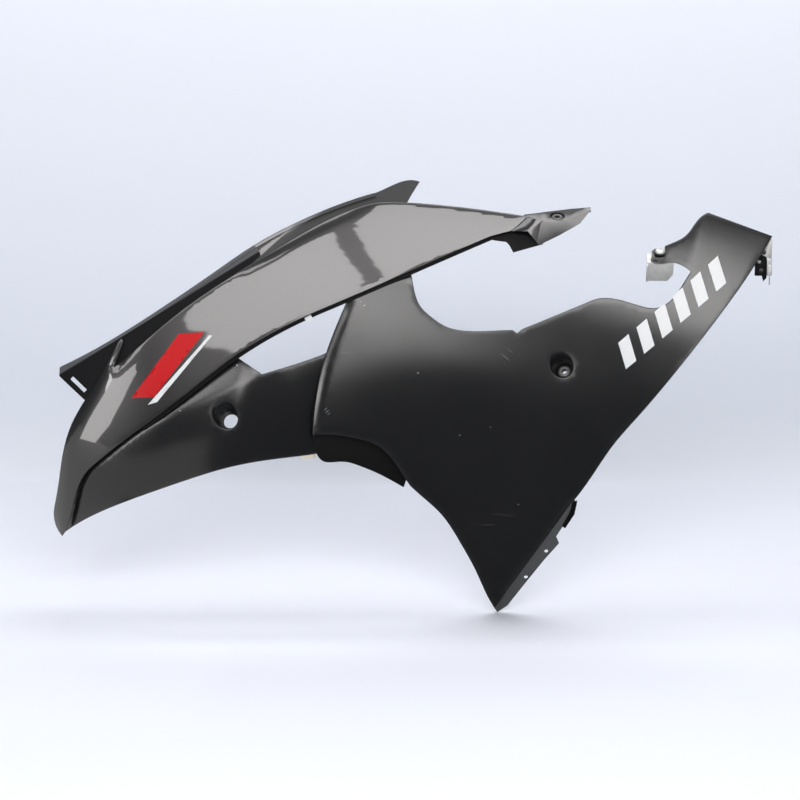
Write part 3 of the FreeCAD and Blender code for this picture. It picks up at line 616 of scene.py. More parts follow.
def point_value(tree, name):
    """A value kept on the mesh's points."""
    return add_node(tree, "Attribute", attribute_name=name).outputs["Fac"]


def noise(tree, place, scale, detail, **inputs):
    """The value of a noise texture."""
    return add_node(tree, "TexNoise", {
        "Vector": place, "Scale": scale, "Detail": detail, **inputs}).outputs[0]


def bump(tree, height, strength, distance):
    """A normal from a height."""
    return add_node(tree, "Bump", {
        "Height": height, "Strength": strength, "Distance": distance}).outputs[0]


def new_group(name, inputs, outputs):
    """An empty node group of plain values, with its input and output nodes."""
    group = bpy.data.node_groups.new(name, "ShaderNodeTree")
    for label, default in inputs:
        socket = group.interface.new_socket(label, in_out="INPUT", socket_type="NodeSocketFloat")
        socket.default_value = default
    for label in outputs:
        group.interface.new_socket(label, in_out="OUTPUT", socket_type="NodeSocketFloat")
    return group, group.nodes.new("NodeGroupInput"), group.nodes.new("NodeGroupOutput")


def use_group(tree, group, **values):
    """The outputs of a node group placed in a material."""
    return add_node(tree, "Group", values, node_tree=group).outputs


def grain_group():
    """Moulded grain: a fine pebbled height."""
    group, given, out = new_group("Moulded grain", [("Scale", 900.0)], ["Height"])
    height = noise(group, object_place(group), given.outputs["Scale"], 3.0, Roughness=0.6)
    group.links.new(height, out.inputs["Height"])
    return group


def dust_group():
    """Handling marks: a cloudy film, small pale specks and short scuffs."""
    group, given, out = new_group("Handling marks", [("Amount", 0.5)], ["Film", "Specks", "Scuffs"])
    place = object_place(group)
    film = ramp(group, noise(group, place, 7.0, 6.0, Roughness=0.62), 0.45, 0.75)
    cells = add_node(group, "TexVoronoi", {"Vector": place, "Scale": 46.0, "Randomness": 1.0})
    dots = ramp(group, cells.outputs["Distance"], 0.055, 0.03)
    specks = product(group, dots, ramp(group, noise(group, place, 21.0, 1.0), 0.60, 0.66))
    drawn = add_node(group, "Mapping", {
        "Vector": place, "Rotation": (0.0, 0.55, 0.0), "Scale": (18.0, 18.0, 210.0)}).outputs[0]
    scuffs = product(group, ramp(group, noise(group, drawn, 1.0, 4.0), 0.66, 0.74),
                     ramp(group, noise(group, place, 9.0, 2.0), 0.55, 0.65))
    for label, mask in (("Film", film), ("Specks", specks), ("Scuffs", scuffs)):
        group.links.new(product(group, mask, given.outputs["Amount"]), out.inputs[label])
    return group


def beside_line(tree, axes, start, end):
    """Distance in metres to the right of a line in the side view, given in millimetres."""
    run = Vector((end[0] - start[0], end[1] - start[1])).normalized()
    shift = (start[0] * run.y - start[1] * run.x) / MM
    ahead = maths(tree, "SUBTRACT", product(tree, axes["X"], run.y), product(tree, axes["Z"], run.x))
    return maths(tree, "SUBTRACT", ahead, shift)


def turned(tree, axes, centre, lie, length=1.0, width=1.0):
    """Shares of a length along and of a width across a direction in the side view."""
    east, north = math.cos(math.radians(lie)), math.sin(math.radians(lie))
    right = maths(tree, "SUBTRACT", axes["X"], centre[0])
    over = maths(tree, "SUBTRACT", axes["Z"], centre[1])
    along = maths(tree, "ADD", product(tree, right, east / length), product(tree, over, north / length))
    across = maths(tree, "SUBTRACT", product(tree, over, east / width), product(tree, right, north / width))
    return along, across


def flake_colour(tree, place, look):
    """The paint's colour, a little different from flake to flake."""
    flakes = add_node(tree, "TexVoronoi", {"Vector": place, "Scale": FLAKE_SCALE})
    spark = ramp(tree, flakes.outputs["Color"], 0.0, 1.0, 0.86, 1.14)
    return mix(tree, 1.0, look.paint_colour[:3], spark, "MULTIPLY")


def coat_over(tree, shader, weight):
    """Metallic paint under clear coat where a weight says so."""
    feed(tree, shader, {"Metallic": product(tree, weight, 0.85), "Coat Weight": weight,
                        "Coat Roughness": 0.04, "Coat IOR": 1.58})


def paint_finish(look, groups):
    """Dark grey metallic paint under clear coat, bare plastic on its inboard side."""
    material, tree, shader = new_tree("graphite_paint")
    place = object_place(tree)
    marks = use_group(tree, groups["dust"], Amount=0.5)
    outside = point_value(tree, "outside")
    paint = mix(tree, product(tree, marks["Specks"], 0.7), flake_colour(tree, place, look), PALE_SPECK)
    coat_over(tree, shader, outside)
    feed(tree, shader, {
        "Base Color": mix(tree, outside, BARE_PLASTIC, paint),
        "Roughness": ramp(tree, outside, 0.0, 1.0, 0.62, 0.34),
        "Normal": bump(tree, noise(tree, place, 130.0, 2.0), 0.06, 0.0004)})
    return material


def plastic_finish(groups, name, colour, roughness, dust, grain_scale, grain_strength, worn, shine,
                   placed=False):
    """Grained plastic with dust, scuffs and worn rims, and on the lower panels a belly flange painted lighter
    grey as a painted highlight, and single marks.
    """
    material, tree, shader = new_tree(name)
    marks = use_group(tree, groups["dust"], Amount=dust)
    grain = use_group(tree, groups["grain"], Scale=grain_scale)["Height"]
    base = mix(tree, product(tree, marks["Film"], 0.35), colour, tuple(c * 1.7 for c in colour))
    bared = product(tree, point_value(tree, "rim"), worn)
    base = mix(tree, bared, base, tuple(c * 3.0 for c in colour))
    specks = product(tree, marks["Specks"], 0.6)
    pale = maths(tree, "MAXIMUM", specks, product(tree, marks["Scuffs"], 0.12))
    base = mix(tree, pale, base, PALE_SCUFF)
    if placed:
        axes = object_axes(tree, object_place(tree))
        # Painted highlight: the belly flange, below a height and right of a line, is painted a lighter grey
        # for how it catches the light
        low = ramp(tree, axes["Z"], -0.172, -0.160, 1.0, 0.0)
        past = ramp(tree, beside_line(tree, axes, *FLANGE_LINE), 0.0, 0.0015)
        base = mix(tree, product(tree, low, past), base, LIT_FLANGE_GREY)
        for x, z, length, width, lie, share in PLACED_MARKS:
            reach = squares(tree, *turned(tree, axes, (x, z), lie, length, width))
            mark = ramp(tree, reach, 0.4, 1.0, 1.0, 0.0)
            base = mix(tree, product(tree, mark, share), base, PALE_MARK)
    feed(tree, shader, {
        "Base Color": base,
        "Roughness": maths(tree, "ADD", product(tree, marks["Film"], 0.10), roughness),
        "Specular IOR Level": shine,
        "Normal": bump(tree, grain, grain_strength, 0.0003)})
    return material


def inner_finish(look, groups):
    """Black plastic with a paler grey strip at the front end painted as the highlight of its lit top flange,
    then paint, then satin black plastic to the fin painted as shade.
    """
    material, tree, shader = new_tree("inner_blend")
    place = object_place(tree)
    axes = object_axes(tree, place)
    along, across = turned(tree, axes, TONGUE_END, TONGUE_LIE)
    ahead = maths(tree, "MAXIMUM", along, 0.0)
    below = maths(tree, "MINIMUM", across, 0.0)
    reach = maths(tree, "SQRT", squares(tree, ahead, below))
    # Painted shade: right of this line the paint gives way to satin black plastic, standing in for the darker
    # reflection of the painted fin
    satin = ramp(tree, beside_line(tree, axes, *SATIN_SHADE_LINE), -0.0005, 0.0005)
    # Painted highlight: a paler grey strip along the top line where the top flange faces the light
    lit_strip = ramp(tree, beside_line(tree, axes, *TOP_LINE), 0.006, 0.008, 1.0, 0.0)
    painted = product(tree, ramp(tree, reach, 0.0115, 0.0125), point_value(tree, "outside"))
    painted = product(tree, painted, maths(tree, "SUBTRACT", 1.0, satin))
    bare = mix(tree, lit_strip, INNER_BLACK, LIT_STRIP_GREY)
    grain = use_group(tree, groups["grain"], Scale=900.0)["Height"]
    coat_over(tree, shader, painted)
    feed(tree, shader, {
        "Base Color": mix(tree, painted, bare, flake_colour(tree, place, look)),
        "Roughness": ramp(tree, painted, 0.0, 1.0, 0.5, 0.34),
        "Specular IOR Level": maths(tree, "ADD", ramp(tree, painted, 0.0, 1.0, 0.04, 0.5),
                                    product(tree, satin, 0.48)),
        "Normal": bump(tree, grain, 0.08, 0.0002)})
    return material


def metal_finish(name, colour, roughness, tarnish, metallic):
    """Plated or bare metal with a faint tarnish and fine brushing."""
    material, tree, shader = new_tree(name)
    place = object_place(tree)
    brush = add_node(tree, "Mapping", {"Vector": place, "Scale": (300.0, 300.0, 4000.0)}).outputs[0]
    lines = noise(tree, brush, 1.0, 2.0)
    dull = ramp(tree, noise(tree, place, 160.0, 4.0), 0.45, 0.7, 0.0, tarnish)
    feed(tree, shader, {
        "Base Color": mix(tree, dull, colour, tuple(c * 0.35 for c in colour)),
        "Metallic": metallic,
        "Roughness": ramp(tree, lines, 0.3, 0.7, roughness - 0.06, roughness + 0.10),
        "Normal": bump(tree, lines, 0.05, 0.0001)})
    return material


def film_finish(name, colour, groups):
    """Printed vinyl with a film of dust."""
    material, tree, shader = new_tree(name)
    marks = use_group(tree, groups["dust"], Amount=0.8)
    feed(tree, shader, {
        "Base Color": (*colour, 1.0), "Specular IOR Level": 0.15,
        "Roughness": ramp(tree, marks["Film"], 0.0, 1.0, 0.32, 0.5)})
    return material


def backdrop_finish(floor):
    """Pale blue-white paper with painted shade that greys the wall towards the floor, clear from behind."""
    material, tree, shader = new_tree("studio_paper")
    place = object_place(tree)
    axes = object_axes(tree, place)
    sheet = mix(tree, noise(tree, place, 1.4, 2.0), (0.80, 0.815, 0.875), (0.83, 0.845, 0.90))
    # Painted shade: the wall darkens towards the floor
    low = mix(tree, ramp(tree, axes["Z"], floor + 0.03, floor + 0.95), (0.60, 0.63, 0.68), sheet)
    upright = ramp(tree, axes["Y"], 1.10, 1.24)
    feed(tree, shader, {"Base Color": mix(tree, upright, sheet, low), "Roughness": 0.85})
    behind = add_node(tree, "NewGeometry").outputs["Backfacing"]
    clear = add_node(tree, "BsdfTransparent")
    either = add_node(tree, "MixShader", {0: behind, 1: shader.outputs[0], 2: clear.outputs[0]})
    feed(tree, tree.nodes["Material Output"], {"Surface": either.outputs[0]})
    return material


def glow_finish(name, colour, strength):
    """Even light of a lit card."""
    material, tree, shader = new_tree(name)
    tree.nodes.remove(shader)
    glow = add_node(tree, "Emission", {"Color": (*colour, 1.0), "Strength": strength})
    feed(tree, tree.nodes["Material Output"], {"Surface": glow.outputs[0]})
    return material


def length_setting(name, description, default, low, high):
    """A length in metres that the panel shows."""
    return bpy.props.FloatProperty(
        name=name, description=description, default=default, min=low, max=high, unit="LENGTH")


def colour_setting(name, description, default):
    """A colour that the panel shows."""
    return bpy.props.FloatVectorProperty(
        name=name, description=description, subtype="COLOR", size=3, min=0.0, max=1.0, default=default)


class FairingLook(bpy.types.PropertyGroup):
    """Sizes and colours of the fairing's dressing."""

    skin_pitch: length_setting("Skin pitch", "Spacing of the points on the painted skin", 0.005, 0.002, 0.03)
    rim_radius: length_setting("Rim radius", "Rounding of the moulded panel edges", 0.0011, 0.0002, 0.003)
    hardware_radius: length_setting(
        "Hardware radius", "Rounding of the edges of clips and screws", 0.0003, 0.0001, 0.001)
    paint_colour: colour_setting("Paint", "Body colour of the metallic paint", (0.044, 0.0425, 0.0435))
    plastic_colour: colour_setting("Lower panels", "Colour of the grained panels", (0.0066, 0.0066, 0.0069))
    flash_colour: colour_setting("Flash", "Colour of the flash on the painted panel", (0.44, 0.008, 0.010))
    stripe_colour: colour_setting("Stripes", "Colour of the stripes on the tail", (0.64, 0.64, 0.632))


# Finish: material, colour, roughness, dust, grain scale, grain strength, rim wear, specular level
PLASTICS = {
    "rail": ("black_rail", (0.004, 0.004, 0.0044), 0.5, 0.3, 900.0, 0.15, 0.3, 0.08),
    "rubber": ("bush_rubber", (0.018, 0.018, 0.018), 0.7, 0.8, 700.0, 0.3, 0.0, 0.5),
    "pale": ("pale_clip", (0.62, 0.62, 0.60), 0.5, 0.4, 900.0, 0.1, 0.0, 0.5),
    "foam": ("cream_foam", (0.62, 0.56, 0.44), 0.95, 0.7, 1600.0, 0.9, 0.0, 0.5),
    "black_steel": ("black_oxide", (0.012, 0.012, 0.012), 0.38, 0.5, 1500.0, 0.1, 0.0, 0.5),
    "liner": ("liner_black", (0.003, 0.003, 0.0032), 0.6, 0.2, 900.0, 0.15, 0.0, 0.15),
}
# Finish: material, colour, roughness, tarnish, metallic
METALS = {
    "zinc": ("zinc_plate", (0.66, 0.655, 0.63), 0.40, 0.15, 0.4),
    "satin": ("satin_steel", (0.42, 0.42, 0.41), 0.46, 0.25, 0.6),
    "steel": ("bush_steel", (0.15, 0.15, 0.15), 0.5, 0.4, 1.0),
    "foil": ("heat_foil", (0.82, 0.82, 0.82), 0.32, 0.2, 1.0),
}
FINISHES = {}


def finishes(context):
    """The materials, made once."""
    if FINISHES:
        return FINISHES
    look = context.scene.fairing_look
    groups = {"grain": grain_group(), "dust": dust_group()}
    FINISHES["paint"] = paint_finish(look, groups)
    FINISHES["inner"] = inner_finish(look, groups)
    FINISHES["lower"] = plastic_finish(groups, "grained_lower", tuple(look.plastic_colour),
                                       0.215, 0.6, 1100.0, 0.12, 0.6, 0.74, placed=True)
    for finish, values in PLASTICS.items():
        FINISHES[finish] = plastic_finish(groups, *values)
    for finish, values in METALS.items():
        FINISHES[finish] = metal_finish(*values)
    FINISHES["flash"] = film_finish("red_vinyl", tuple(look.flash_colour), groups)
    FINISHES["stripe"] = film_finish("white_vinyl", tuple(look.stripe_colour), groups)
    return FINISHES


class FAIRING_OT_painted_panel(bpy.types.Operator):
    """Rebuilds the painted upper panel with a rolled top edge and nose"""

    bl_idname = "fairing.painted_panel"
    bl_label = "Painted panel"

    def execute(self, context):
        look = context.scene.fairing_look

        def top(x, z, nx, nz):
            return nz > 0.35 and -400 < x < -262

        def nose(x, z, nx, nz):
            return nx < -0.5 and x < -550

        rebuild(context, "upper_side_panel", "paint", body_form, PAINTED_DEPTH, THICK_SHEET,
                look.rim_radius * MM, look.skin_pitch * MM,
                rules=[(top, 14.0, 3.6, 2.0), (nose, 15.0, 4.5, 2.0)])
        return {"FINISHED"}


# The painted panel's top edge, and how far the inner panel leans inboard above it
TOP_EDGE = ((-566, 9), (-496, 69), (-435, 113), (-351, 164), (-307, 189), (-258, 209), (-199, 214))
LEAN_SLOPE = 0.10
LEAN_START = 3.0
LEAN_BLEND = 5.0
SATIN_SHADE_LENGTH = 75.3


class FAIRING_OT_inner_panels(bpy.types.Operator):
    """Rebuilds the inner panel behind the painted one and the seam rail"""

    bl_idname = "fairing.inner_panels"
    bl_label = "Inner panel and rail"

    def execute(self, context):
        pitch = context.scene.fairing_look.skin_pitch * MM
        top_run, top_rise = along_seam(*np.array(TOP_EDGE, float).T)
        (start_x, start_z), (end_x, end_z) = SATIN_SHADE_LINE

        def lean(x, z):
            run, rise = along_seam(x, z)
            right = ((x - start_x) * (end_z - start_z) - (z - start_z) * (end_x - start_x)) / SATIN_SHADE_LENGTH
            above = np.maximum(rise - np.interp(run, top_run, top_rise) + LEAN_START, 0.0)
            return LEAN_SLOPE * above * np.clip(right / LEAN_BLEND, 0, 1)

        rebuild(context, "upper_inner_panel", "inner", body_form, INNER_DEPTH, THIN_SHEET, INNER_RIM, pitch,
                swell=lean)
        rebuild(context, "seam_rail", "rail", body_form, INNER_DEPTH, THIN_SHEET, THIN_RIM, pitch * 1.5)
        return {"FINISHED"}


# The front panel's step out to the painted edge: its height, its start inside the edge, its width, and
# where it fades out towards the rear
STEP_HEIGHT = -9.0
STEP_START = 5.0
STEP_WIDTH = 8.0
STEP_END = -345.0
STEP_FADE = 70.0
# Its crease: a point, a direction, a softness, and the sign, slope and fading of each side
CREASE_POINT = (-565.0, -89.0)
CREASE_RUN = (0.9016, 0.4327)
CREASE_SOFT = 3.0
CREASE_SIDES = ((1, 0.24, 60), (-1, 0.08, 25))
# The facet on the left of the rear plate: a point on its edge, the edge's lean, slope, width and foot
FACET_POINT = (161.0, 142.0)
FACET_LEAN = (0.2527, 0.97)  # tangent and cosine
FACET_SLOPE = 0.20
FACET_WIDTH = 40
FACET_FOOT = 118.0
FACET_FADE = 20.0


def smooth(share):
    """A share from 0 to 1 with soft ends."""
    return share * share * (3 - 2 * share)


def crease(x, z):
    """Depth of the front panel's crease."""
    away = (z - CREASE_POINT[1]) * CREASE_RUN[0] - (x - CREASE_POINT[0]) * CREASE_RUN[1]
    soft = np.hypot(away, CREASE_SOFT) - CREASE_SOFT
    sides = [slope * soft * fade / (fade + np.maximum(sign * away, 0.0))
             for sign, slope, fade in CREASE_SIDES]
    return np.where(away > 0, *sides)


def tail_facet(x, z):
    """Depth of the rear plate's facet."""
    left = (FACET_POINT[0] + (z - FACET_POINT[1]) * FACET_LEAN[0] - x) * FACET_LEAN[1]
    return FACET_SLOPE * np.clip(left, 0, FACET_WIDTH) * np.clip((z - FACET_FOOT) / FACET_FADE, 0, 1)


class FAIRING_OT_lower_panels(bpy.types.Operator):
    """Rebuilds the grained lower panels and the liner behind the scoop"""

    bl_idname = "fairing.lower_panels"
    bl_label = "Lower panels"

    def execute(self, context):
        look = context.scene.fairing_look
        pitch = look.skin_pitch * MM
        rim = look.rim_radius * MM
        painted = NodeFaces("upper_side_panel")
        skin = painted.skins(body_form, PAINTED_DEPTH)[0]
        edge = segments([painted.points[painted.loops(skin)[0]][:, [0, 2]]])

        def lip(x, z, nx, nz):
            return nx < -0.75 and -330 < x < -262 and z > -80

        def scoop(x, z, nx, nz):
            return nz < -0.1 and x < -185 and z < -60

        def belly(x, z, nx, nz):
            return nx < -0.3 and x < -75 and z < -145

        def joggle(x, z):
            clear = []
            for block in in_blocks(np.stack([x, z], axis=1)):
                gap = distances(block, *edge)[0]
                clear.append(np.where(inside(block, *edge), -gap, gap))
            step = np.clip((np.concatenate(clear) + STEP_START) / STEP_WIDTH, 0, 1)
            fade = np.clip((STEP_END - x) / STEP_FADE, 0, 1)
            return STEP_HEIGHT * smooth(step) * smooth(fade)

        def front_face(x, z):
            return crease(x, z) + joggle(x, z)

        rebuild(context, "front_lower_panel", "lower", front_form, FRONT_DEPTH, THICK_SHEET, rim, pitch,
                swell=front_face)
        rebuild(context, "lower_side_panel", "lower", body_form, LOWER_DEPTH, THICK_SHEET, rim, pitch * 1.2,
                rules=[(lip, 10.0, 4.3, 1.0), (scoop, 8.0, 2.6, 2.0), (belly, 16.0, 4.0, 2.0)],
                swell=tail_facet)
        rebuild(context, "scoop_liner", "liner", body_form, LINER_DEPTH, THIN_SHEET, THIN_RIM, pitch * 1.5)
        return {"FINISHED"}


# Node, finish and share of the hardware radius
HARDWARE = (
    ("arm_screw", "zinc", 1.0), ("arm_washer", "black_steel", 0.8), ("arm_pad", "rubber", 1.2),
    ("arm_clip", "zinc", 2.0), ("arm_nut", "zinc", 1.0), ("rear_stay", "satin", 0.8),
    ("rear_retainer", "rail", 1.2), ("rear_spring_clip", "satin", 0.8), ("rear_rivets", "black_steel", 1.0),
    ("grommets", "rubber", 1.5), ("collars", "steel", 0.8), ("panel_screws", "black_steel", 0.8),
    ("belly_clip", "rail", 0.8), ("seam_clip", "pale", 0.6), ("foam_tape", "foam", 1.2),
    ("heat_foil", "foil", 0.3),
)


class FAIRING_OT_hardware(bpy.types.Operator):
    """Rounds the edges of the clips, stays, screws and bushes"""

    bl_idname = "fairing.hardware"
    bl_label = "Hardware"

    def execute(self, context):
        radius = context.scene.fairing_look.hardware_radius
        for node, finish, share in HARDWARE:
            eased_copy(context, node, radius * share, finishes(context)[finish])
        return {"FINISHED"}


# Outlines of the printed films in the side view, their pitch and their depth on the form, in millimetres
FLASH_BAR = ((-545, -30), (-484, 52), (-452, 54), (-516, -28))
FLASH_LINE = ((-524, -38), (-446, 50), (-442, 50), (-512, -34))
TAIL_BAR = ((0, 0), (13, 10.5), (3, 44), (-10, 33))
TAIL_START = (76.0, 6.0)
TAIL_STEP = (23.0, 19.0)
TAIL_COUNT = 6
FLASH_DEPTH = -0.12
TAIL_DEPTH = 10.66
FILM_EDGE = 4.0
FILM_PITCH = 5.0


def film_sheet(context, name, outlines, depth, finish):
    """Thin printed film that lies on a panel's skin."""
    parts = MeshParts()
    for outline in outlines:
        loop = np.array(outline, float)
        if turn(loop) < 0:
            loop = loop[::-1]
        fine = []
        for start, end in zip(*segments([loop])):
            steps = max(1, int(np.linalg.norm(end - start) / FILM_EDGE))
            fine += [start + (end - start) * k / steps for k in range(steps)]
        points, faces = filled([np.array(fine)], FILM_PITCH)
        parts.add(raised(points, body_form(points[:, 0], points[:, 1]) + depth), faces, 0.0, 1.0)
    piece = new_piece(context, name, parts.points, parts.faces)
    bpy.ops.object.shade_smooth()
    finish_piece(piece, None, finishes(context)[finish])


class FAIRING_OT_films(bpy.types.Operator):
    """Lays the printed flash on the painted panel and the stripes on the tail"""

    bl_idname = "fairing.films"
    bl_label = "Printed films"

    def execute(self, context):
        film_sheet(context, "flash_red", [FLASH_BAR], FLASH_DEPTH, "flash")
        film_sheet(context, "flash_white", [FLASH_LINE], FLASH_DEPTH, "stripe")
        bars = []
        for i in range(TAIL_COUNT):
            x, z = (start + step * i for start, step in zip(TAIL_START, TAIL_STEP))
            bars.append([(x + dx, z + dz) for dx, dz in TAIL_BAR])
        film_sheet(context, "tail_stripes", bars, TAIL_DEPTH, "stripe")
        return {"FINISHED"}


# The studio, in metres
SWEEP_MIDDLE = (-0.2, -0.125)
SWEEP_HALF = (4.0, 1.375)
SWEEP_HEIGHT = 3.2
SWEEP_BEND = 0.16
FLOOR_GAP = 0.0005
CARD_COLOUR = (1.0, 0.985, 0.975)
CARD_STEP = 0.05
CARD_DRIFT = 0.5
# Cards seen only in reflections: name, y of the plane, wander of the edge, strength, x and z of the corners
UPRIGHT_CARDS = (
    ("front_card", -4.0, 0.028, 5.4, (
        (-1.75, 1.15), (-1.69, 1.02), (-1.58, 0.75), (-1.40, 0.60), (-1.35, 0.45), (-1.24, 0.32),
        (-1.07, 0.16), (-0.85, -0.05), (-0.24, -0.10), (-0.36, 0.97), (-0.44, 1.43), (-0.53, 1.90),
        (-0.58, 2.20), (-1.45, 2.20))),
    ("rear_card", -4.0, 0.028, 5.4, (
        (-0.21, 1.09), (-0.20, 0.86), (-0.345, 0.82), (-0.24, -0.11), (-0.55, -0.08), (-0.52, -0.62),
        (-0.25, -0.80), (-0.04, -0.78), (0.04, -0.35), (0.10, 0.1), (0.16, 0.7), (0.24, 1.30), (0.5, 1.50),
        (1.0, 1.45), (1.4, 0.95), (1.9, 0.6), (2.85, 0.6), (2.85, 4.5), (1.9, 4.5), (1.5, 3.9), (-0.30, 3.9),
        (-0.29, 2.62), (-0.30, 2.03))),
    ("strip_card", -4.0, 0.0, 4.4, (
        (-4.9, 0.9), (-3.4, 1.15), (-2.2, 1.6), (-1.85, 2.3), (-2.0, 3.2), (-3.2, 3.2), (-4.4, 2.5),
        (-5.3, 1.5))),
    ("lip_card", -4.0, 0.0, 9.0, (
        (-5.6, 0.4), (-5.4, -0.9), (-4.9, -1.4), (-4.2, -1.3), (-4.1, -0.3), (-4.4, 0.5))),
    ("tip_card", -4.0, 0.0, 5.0, ((1.95, -0.55), (2.95, -0.55), (2.95, 0.25), (1.95, 0.25))),
    ("shelf_card", 1.2, 0.0, 2.4, ((-1.0, 1.1), (1.2, 1.1), (1.2, 2.5), (-1.0, 2.5))),
)
NOSE_CARD = (
    (-0.784, -0.457, 0.044), (-0.771, -0.474, -0.013), (-0.844, -0.381, -0.134), (-0.921, -0.282, -0.242),
    (-1.00, -0.175, -0.325), (-1.06, -0.105, -0.325), (-0.973, -0.215, -0.202), (-0.878, -0.337, -0.073),
    (-0.826, -0.404, 0.011))
NOSE_STRENGTH = 5.4
FLOOR_CARD = (
    (-1.5, -0.12), (-0.95, -0.22), (-0.80, -0.30), (-0.62, -0.5), (-0.45, -0.5), (-0.42, -0.06), (-0.66, 0.0),
    (-0.66, 0.5), (-1.5, 0.5))
FLOOR_CARD_LIFT = 0.002
FLOOR_STRENGTH = 0.6
LAMP_COLOUR = (0.975, 0.98, 1.0)
# Name, place, aim, width, height, power, whether gloss shows it
LAMPS = (
    ("top_box", (-0.2, -0.3, 2.7), (-0.2, 0.5, -0.3), 3.6, 1.6, 63.0, True),
    ("fill_box", (-0.2, -3.6, 1.3), (-0.2, 0.6, 0.0), 1.6, 0.9, 122.0, False),
)
AIR_COLOUR = (0.88, 0.93, 1.0, 1.0)
AIR_LIGHT = 0.10
AIR_SEEN = 0.75
CAMERA_AIM = (-0.2076, -0.0318, -0.0305)
CAMERA_RISE = math.radians(8.0)
CAMERA_REACH = 3.33375
CAMERA_LENS = 120.0
CAMERA_SENSOR = 36.0


def paper_sweep(context, floor):
    """The paper floor, bent up into a wall behind the part."""
    bpy.ops.mesh.primitive_plane_add(size=2.0, location=(*SWEEP_MIDDLE, floor))
    sweep = context.active_object
    sweep.name = "studio_sweep"
    bpy.ops.object.mode_set(mode="EDIT")
    bpy.ops.transform.resize(value=(*SWEEP_HALF, 1.0))
    bpy.ops.mesh.select_all(action="DESELECT")
    bpy.ops.object.mode_set(mode="OBJECT")
    far = max(v.co.y for v in sweep.data.vertices)
    for edge in sweep.data.edges:
        edge.select = all(sweep.data.vertices[i].co.y > far - 1e-4 for i in edge.vertices)
    bpy.ops.object.mode_set(mode="EDIT")
    bpy.ops.mesh.select_mode(type="EDGE")
    bpy.ops.mesh.extrude_region_move(TRANSFORM_OT_translate={"value": (0.0, 0.0, SWEEP_HEIGHT)})
    bpy.ops.object.mode_set(mode="OBJECT")
    bend = sweep.modifiers.new("Sweep bend", "BEVEL")
    bend.width = SWEEP_BEND
    bend.segments = 16
    bend.limit_method = "ANGLE"
    bpy.ops.object.modifier_apply(modifier=bend.name)
    bpy.ops.object.shade_smooth()
    bpy.ops.object.transform_apply(location=True, rotation=True, scale=True)
    sweep.data.materials.append(backdrop_finish(floor))
    sweep.visible_glossy = False


def lit_card(context, name, corners, ragged, strength):
    """A flat lit card, ragged at its edge where asked, that only reflections show."""
    rng = np.random.default_rng(7)
    outline = []
    for start, end in zip(*segments([np.array(corners)])):
        run = end - start
        steps = max(1, int(np.linalg.norm(run) / CARD_STEP)) if ragged else 1
        wander = np.zeros(3)
        for k in range(steps):
            if ragged and k:
                shift = np.array([rng.uniform(-1, 1), 0.0, rng.uniform(-1, 1)])
                wander = CARD_DRIFT * wander + shift * ragged
            outline.append(start + run * k / steps + wander)
    mesh = bpy.data.meshes.new(name)
    mesh.from_pydata([tuple(v) for v in outline], [], [tuple(range(len(outline)))])
    mesh.materials.append(glow_finish(name, CARD_COLOUR, strength))
    card = add_object(context, name, mesh)
    card.visible_diffuse = False
    card.visible_camera = False
    card.visible_shadow = False


def soft_box(context, name, place, aim, width, height, power, in_gloss):
    """A rectangular studio light."""
    light = bpy.data.lights.new(name, "AREA")
    light.shape = "RECTANGLE"
    light.size = width
    light.size_y = height
    light.energy = power
    light.color = LAMP_COLOUR
    lamp = add_object(context, name, light)
    lamp.location = place
    lamp.rotation_euler = (Vector(aim) - Vector(place)).to_track_quat("-Z", "Y").to_euler()
    lamp.visible_glossy = in_gloss


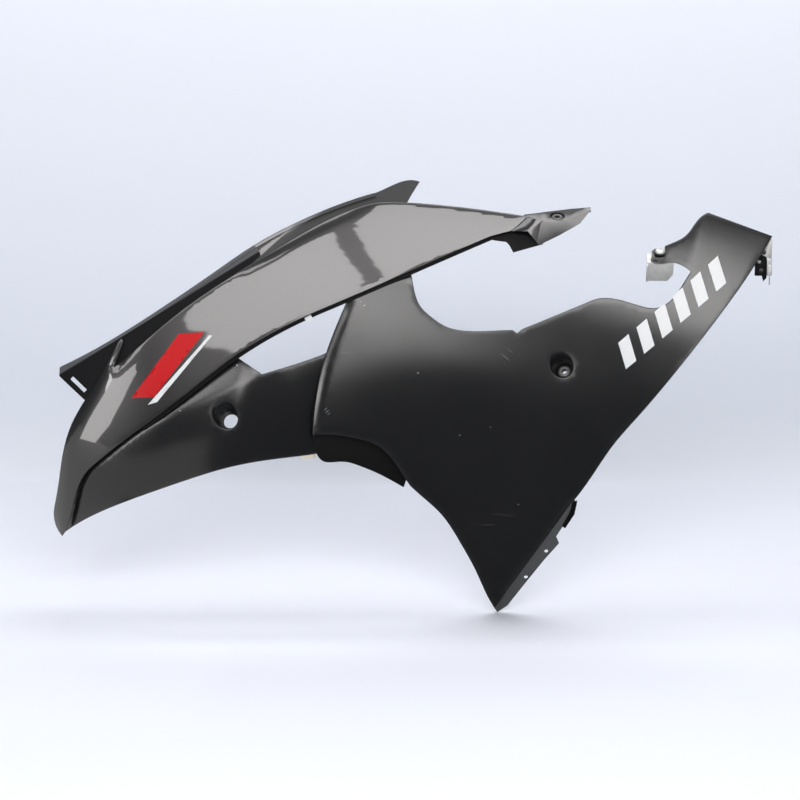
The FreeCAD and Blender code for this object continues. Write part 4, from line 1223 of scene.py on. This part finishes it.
class FAIRING_OT_stage(bpy.types.Operator):
    """Sets up the paper sweep, the lit cards, the lamps, the air and the camera"""

    bl_idname = "fairing.stage"
    bl_label = "Studio"

    def execute(self, context):
        scene = context.scene
        floor = CAD_BOX[0].z - FLOOR_GAP
        paper_sweep(context, floor)
        for name, plane, ragged, strength, corners in UPRIGHT_CARDS:
            lit_card(context, name, [(x, plane, z) for x, z in corners], ragged, strength)
        lit_card(context, "nose_card", NOSE_CARD, 0.0, NOSE_STRENGTH)
        lit_card(context, "floor_card", [(x, y, floor + FLOOR_CARD_LIFT) for x, y in FLOOR_CARD], 0.0,
                 FLOOR_STRENGTH)
        for lamp in LAMPS:
            soft_box(context, *lamp)

        world = scene.world or bpy.data.worlds.new("studio_air")
        scene.world = world
        world.use_nodes = True
        tree = world.node_tree
        seen = add_node(tree, "LightPath").outputs["Is Camera Ray"]
        feed(tree, tree.nodes["Background"], {
            "Color": AIR_COLOUR, "Strength": ramp(tree, seen, 0.0, 1.0, AIR_LIGHT, AIR_SEEN)})
        scene.view_settings.view_transform = "Standard"

        camera = bpy.data.cameras.new("photo_camera")
        camera.lens = CAMERA_LENS
        camera.sensor_width = CAMERA_SENSOR
        viewer = add_object(context, "photo_camera", camera)
        back = Vector((0.0, -math.cos(CAMERA_RISE), math.sin(CAMERA_RISE)))
        viewer.location = Vector(CAMERA_AIM) + back * CAMERA_REACH
        viewer.rotation_euler = (math.radians(90) - CAMERA_RISE, 0.0, 0.0)
        scene.camera = viewer
        return {"FINISHED"}


STEPS = (FAIRING_OT_painted_panel, FAIRING_OT_inner_panels, FAIRING_OT_lower_panels, FAIRING_OT_hardware,
         FAIRING_OT_films, FAIRING_OT_stage)


class FAIRING_PT_dresser(bpy.types.Panel):
    """Lists the sizes, colours and steps"""

    bl_idname = "FAIRING_PT_dresser"
    bl_label = "Side Fairing"
    bl_space_type = "VIEW_3D"
    bl_region_type = "UI"
    bl_category = "Fairing"

    def draw(self, context):
        look = context.scene.fairing_look
        for name in FairingLook.__annotations__:
            self.layout.prop(look, name)
        for step in STEPS:
            self.layout.operator(step.bl_idname)


CLASSES = (FairingLook, *STEPS, FAIRING_PT_dresser)


def register():
    for item in CLASSES:
        bpy.utils.register_class(item)
    bpy.types.Scene.fairing_look = bpy.props.PointerProperty(type=FairingLook)


def unregister():
    del bpy.types.Scene.fairing_look
    for item in reversed(CLASSES):
        bpy.utils.unregister_class(item)


def main():
    register()
    for step in STEPS:
        group, name = step.bl_idname.split(".")
        getattr(getattr(bpy.ops, group), name)()


if __name__ == "__main__":
    main()
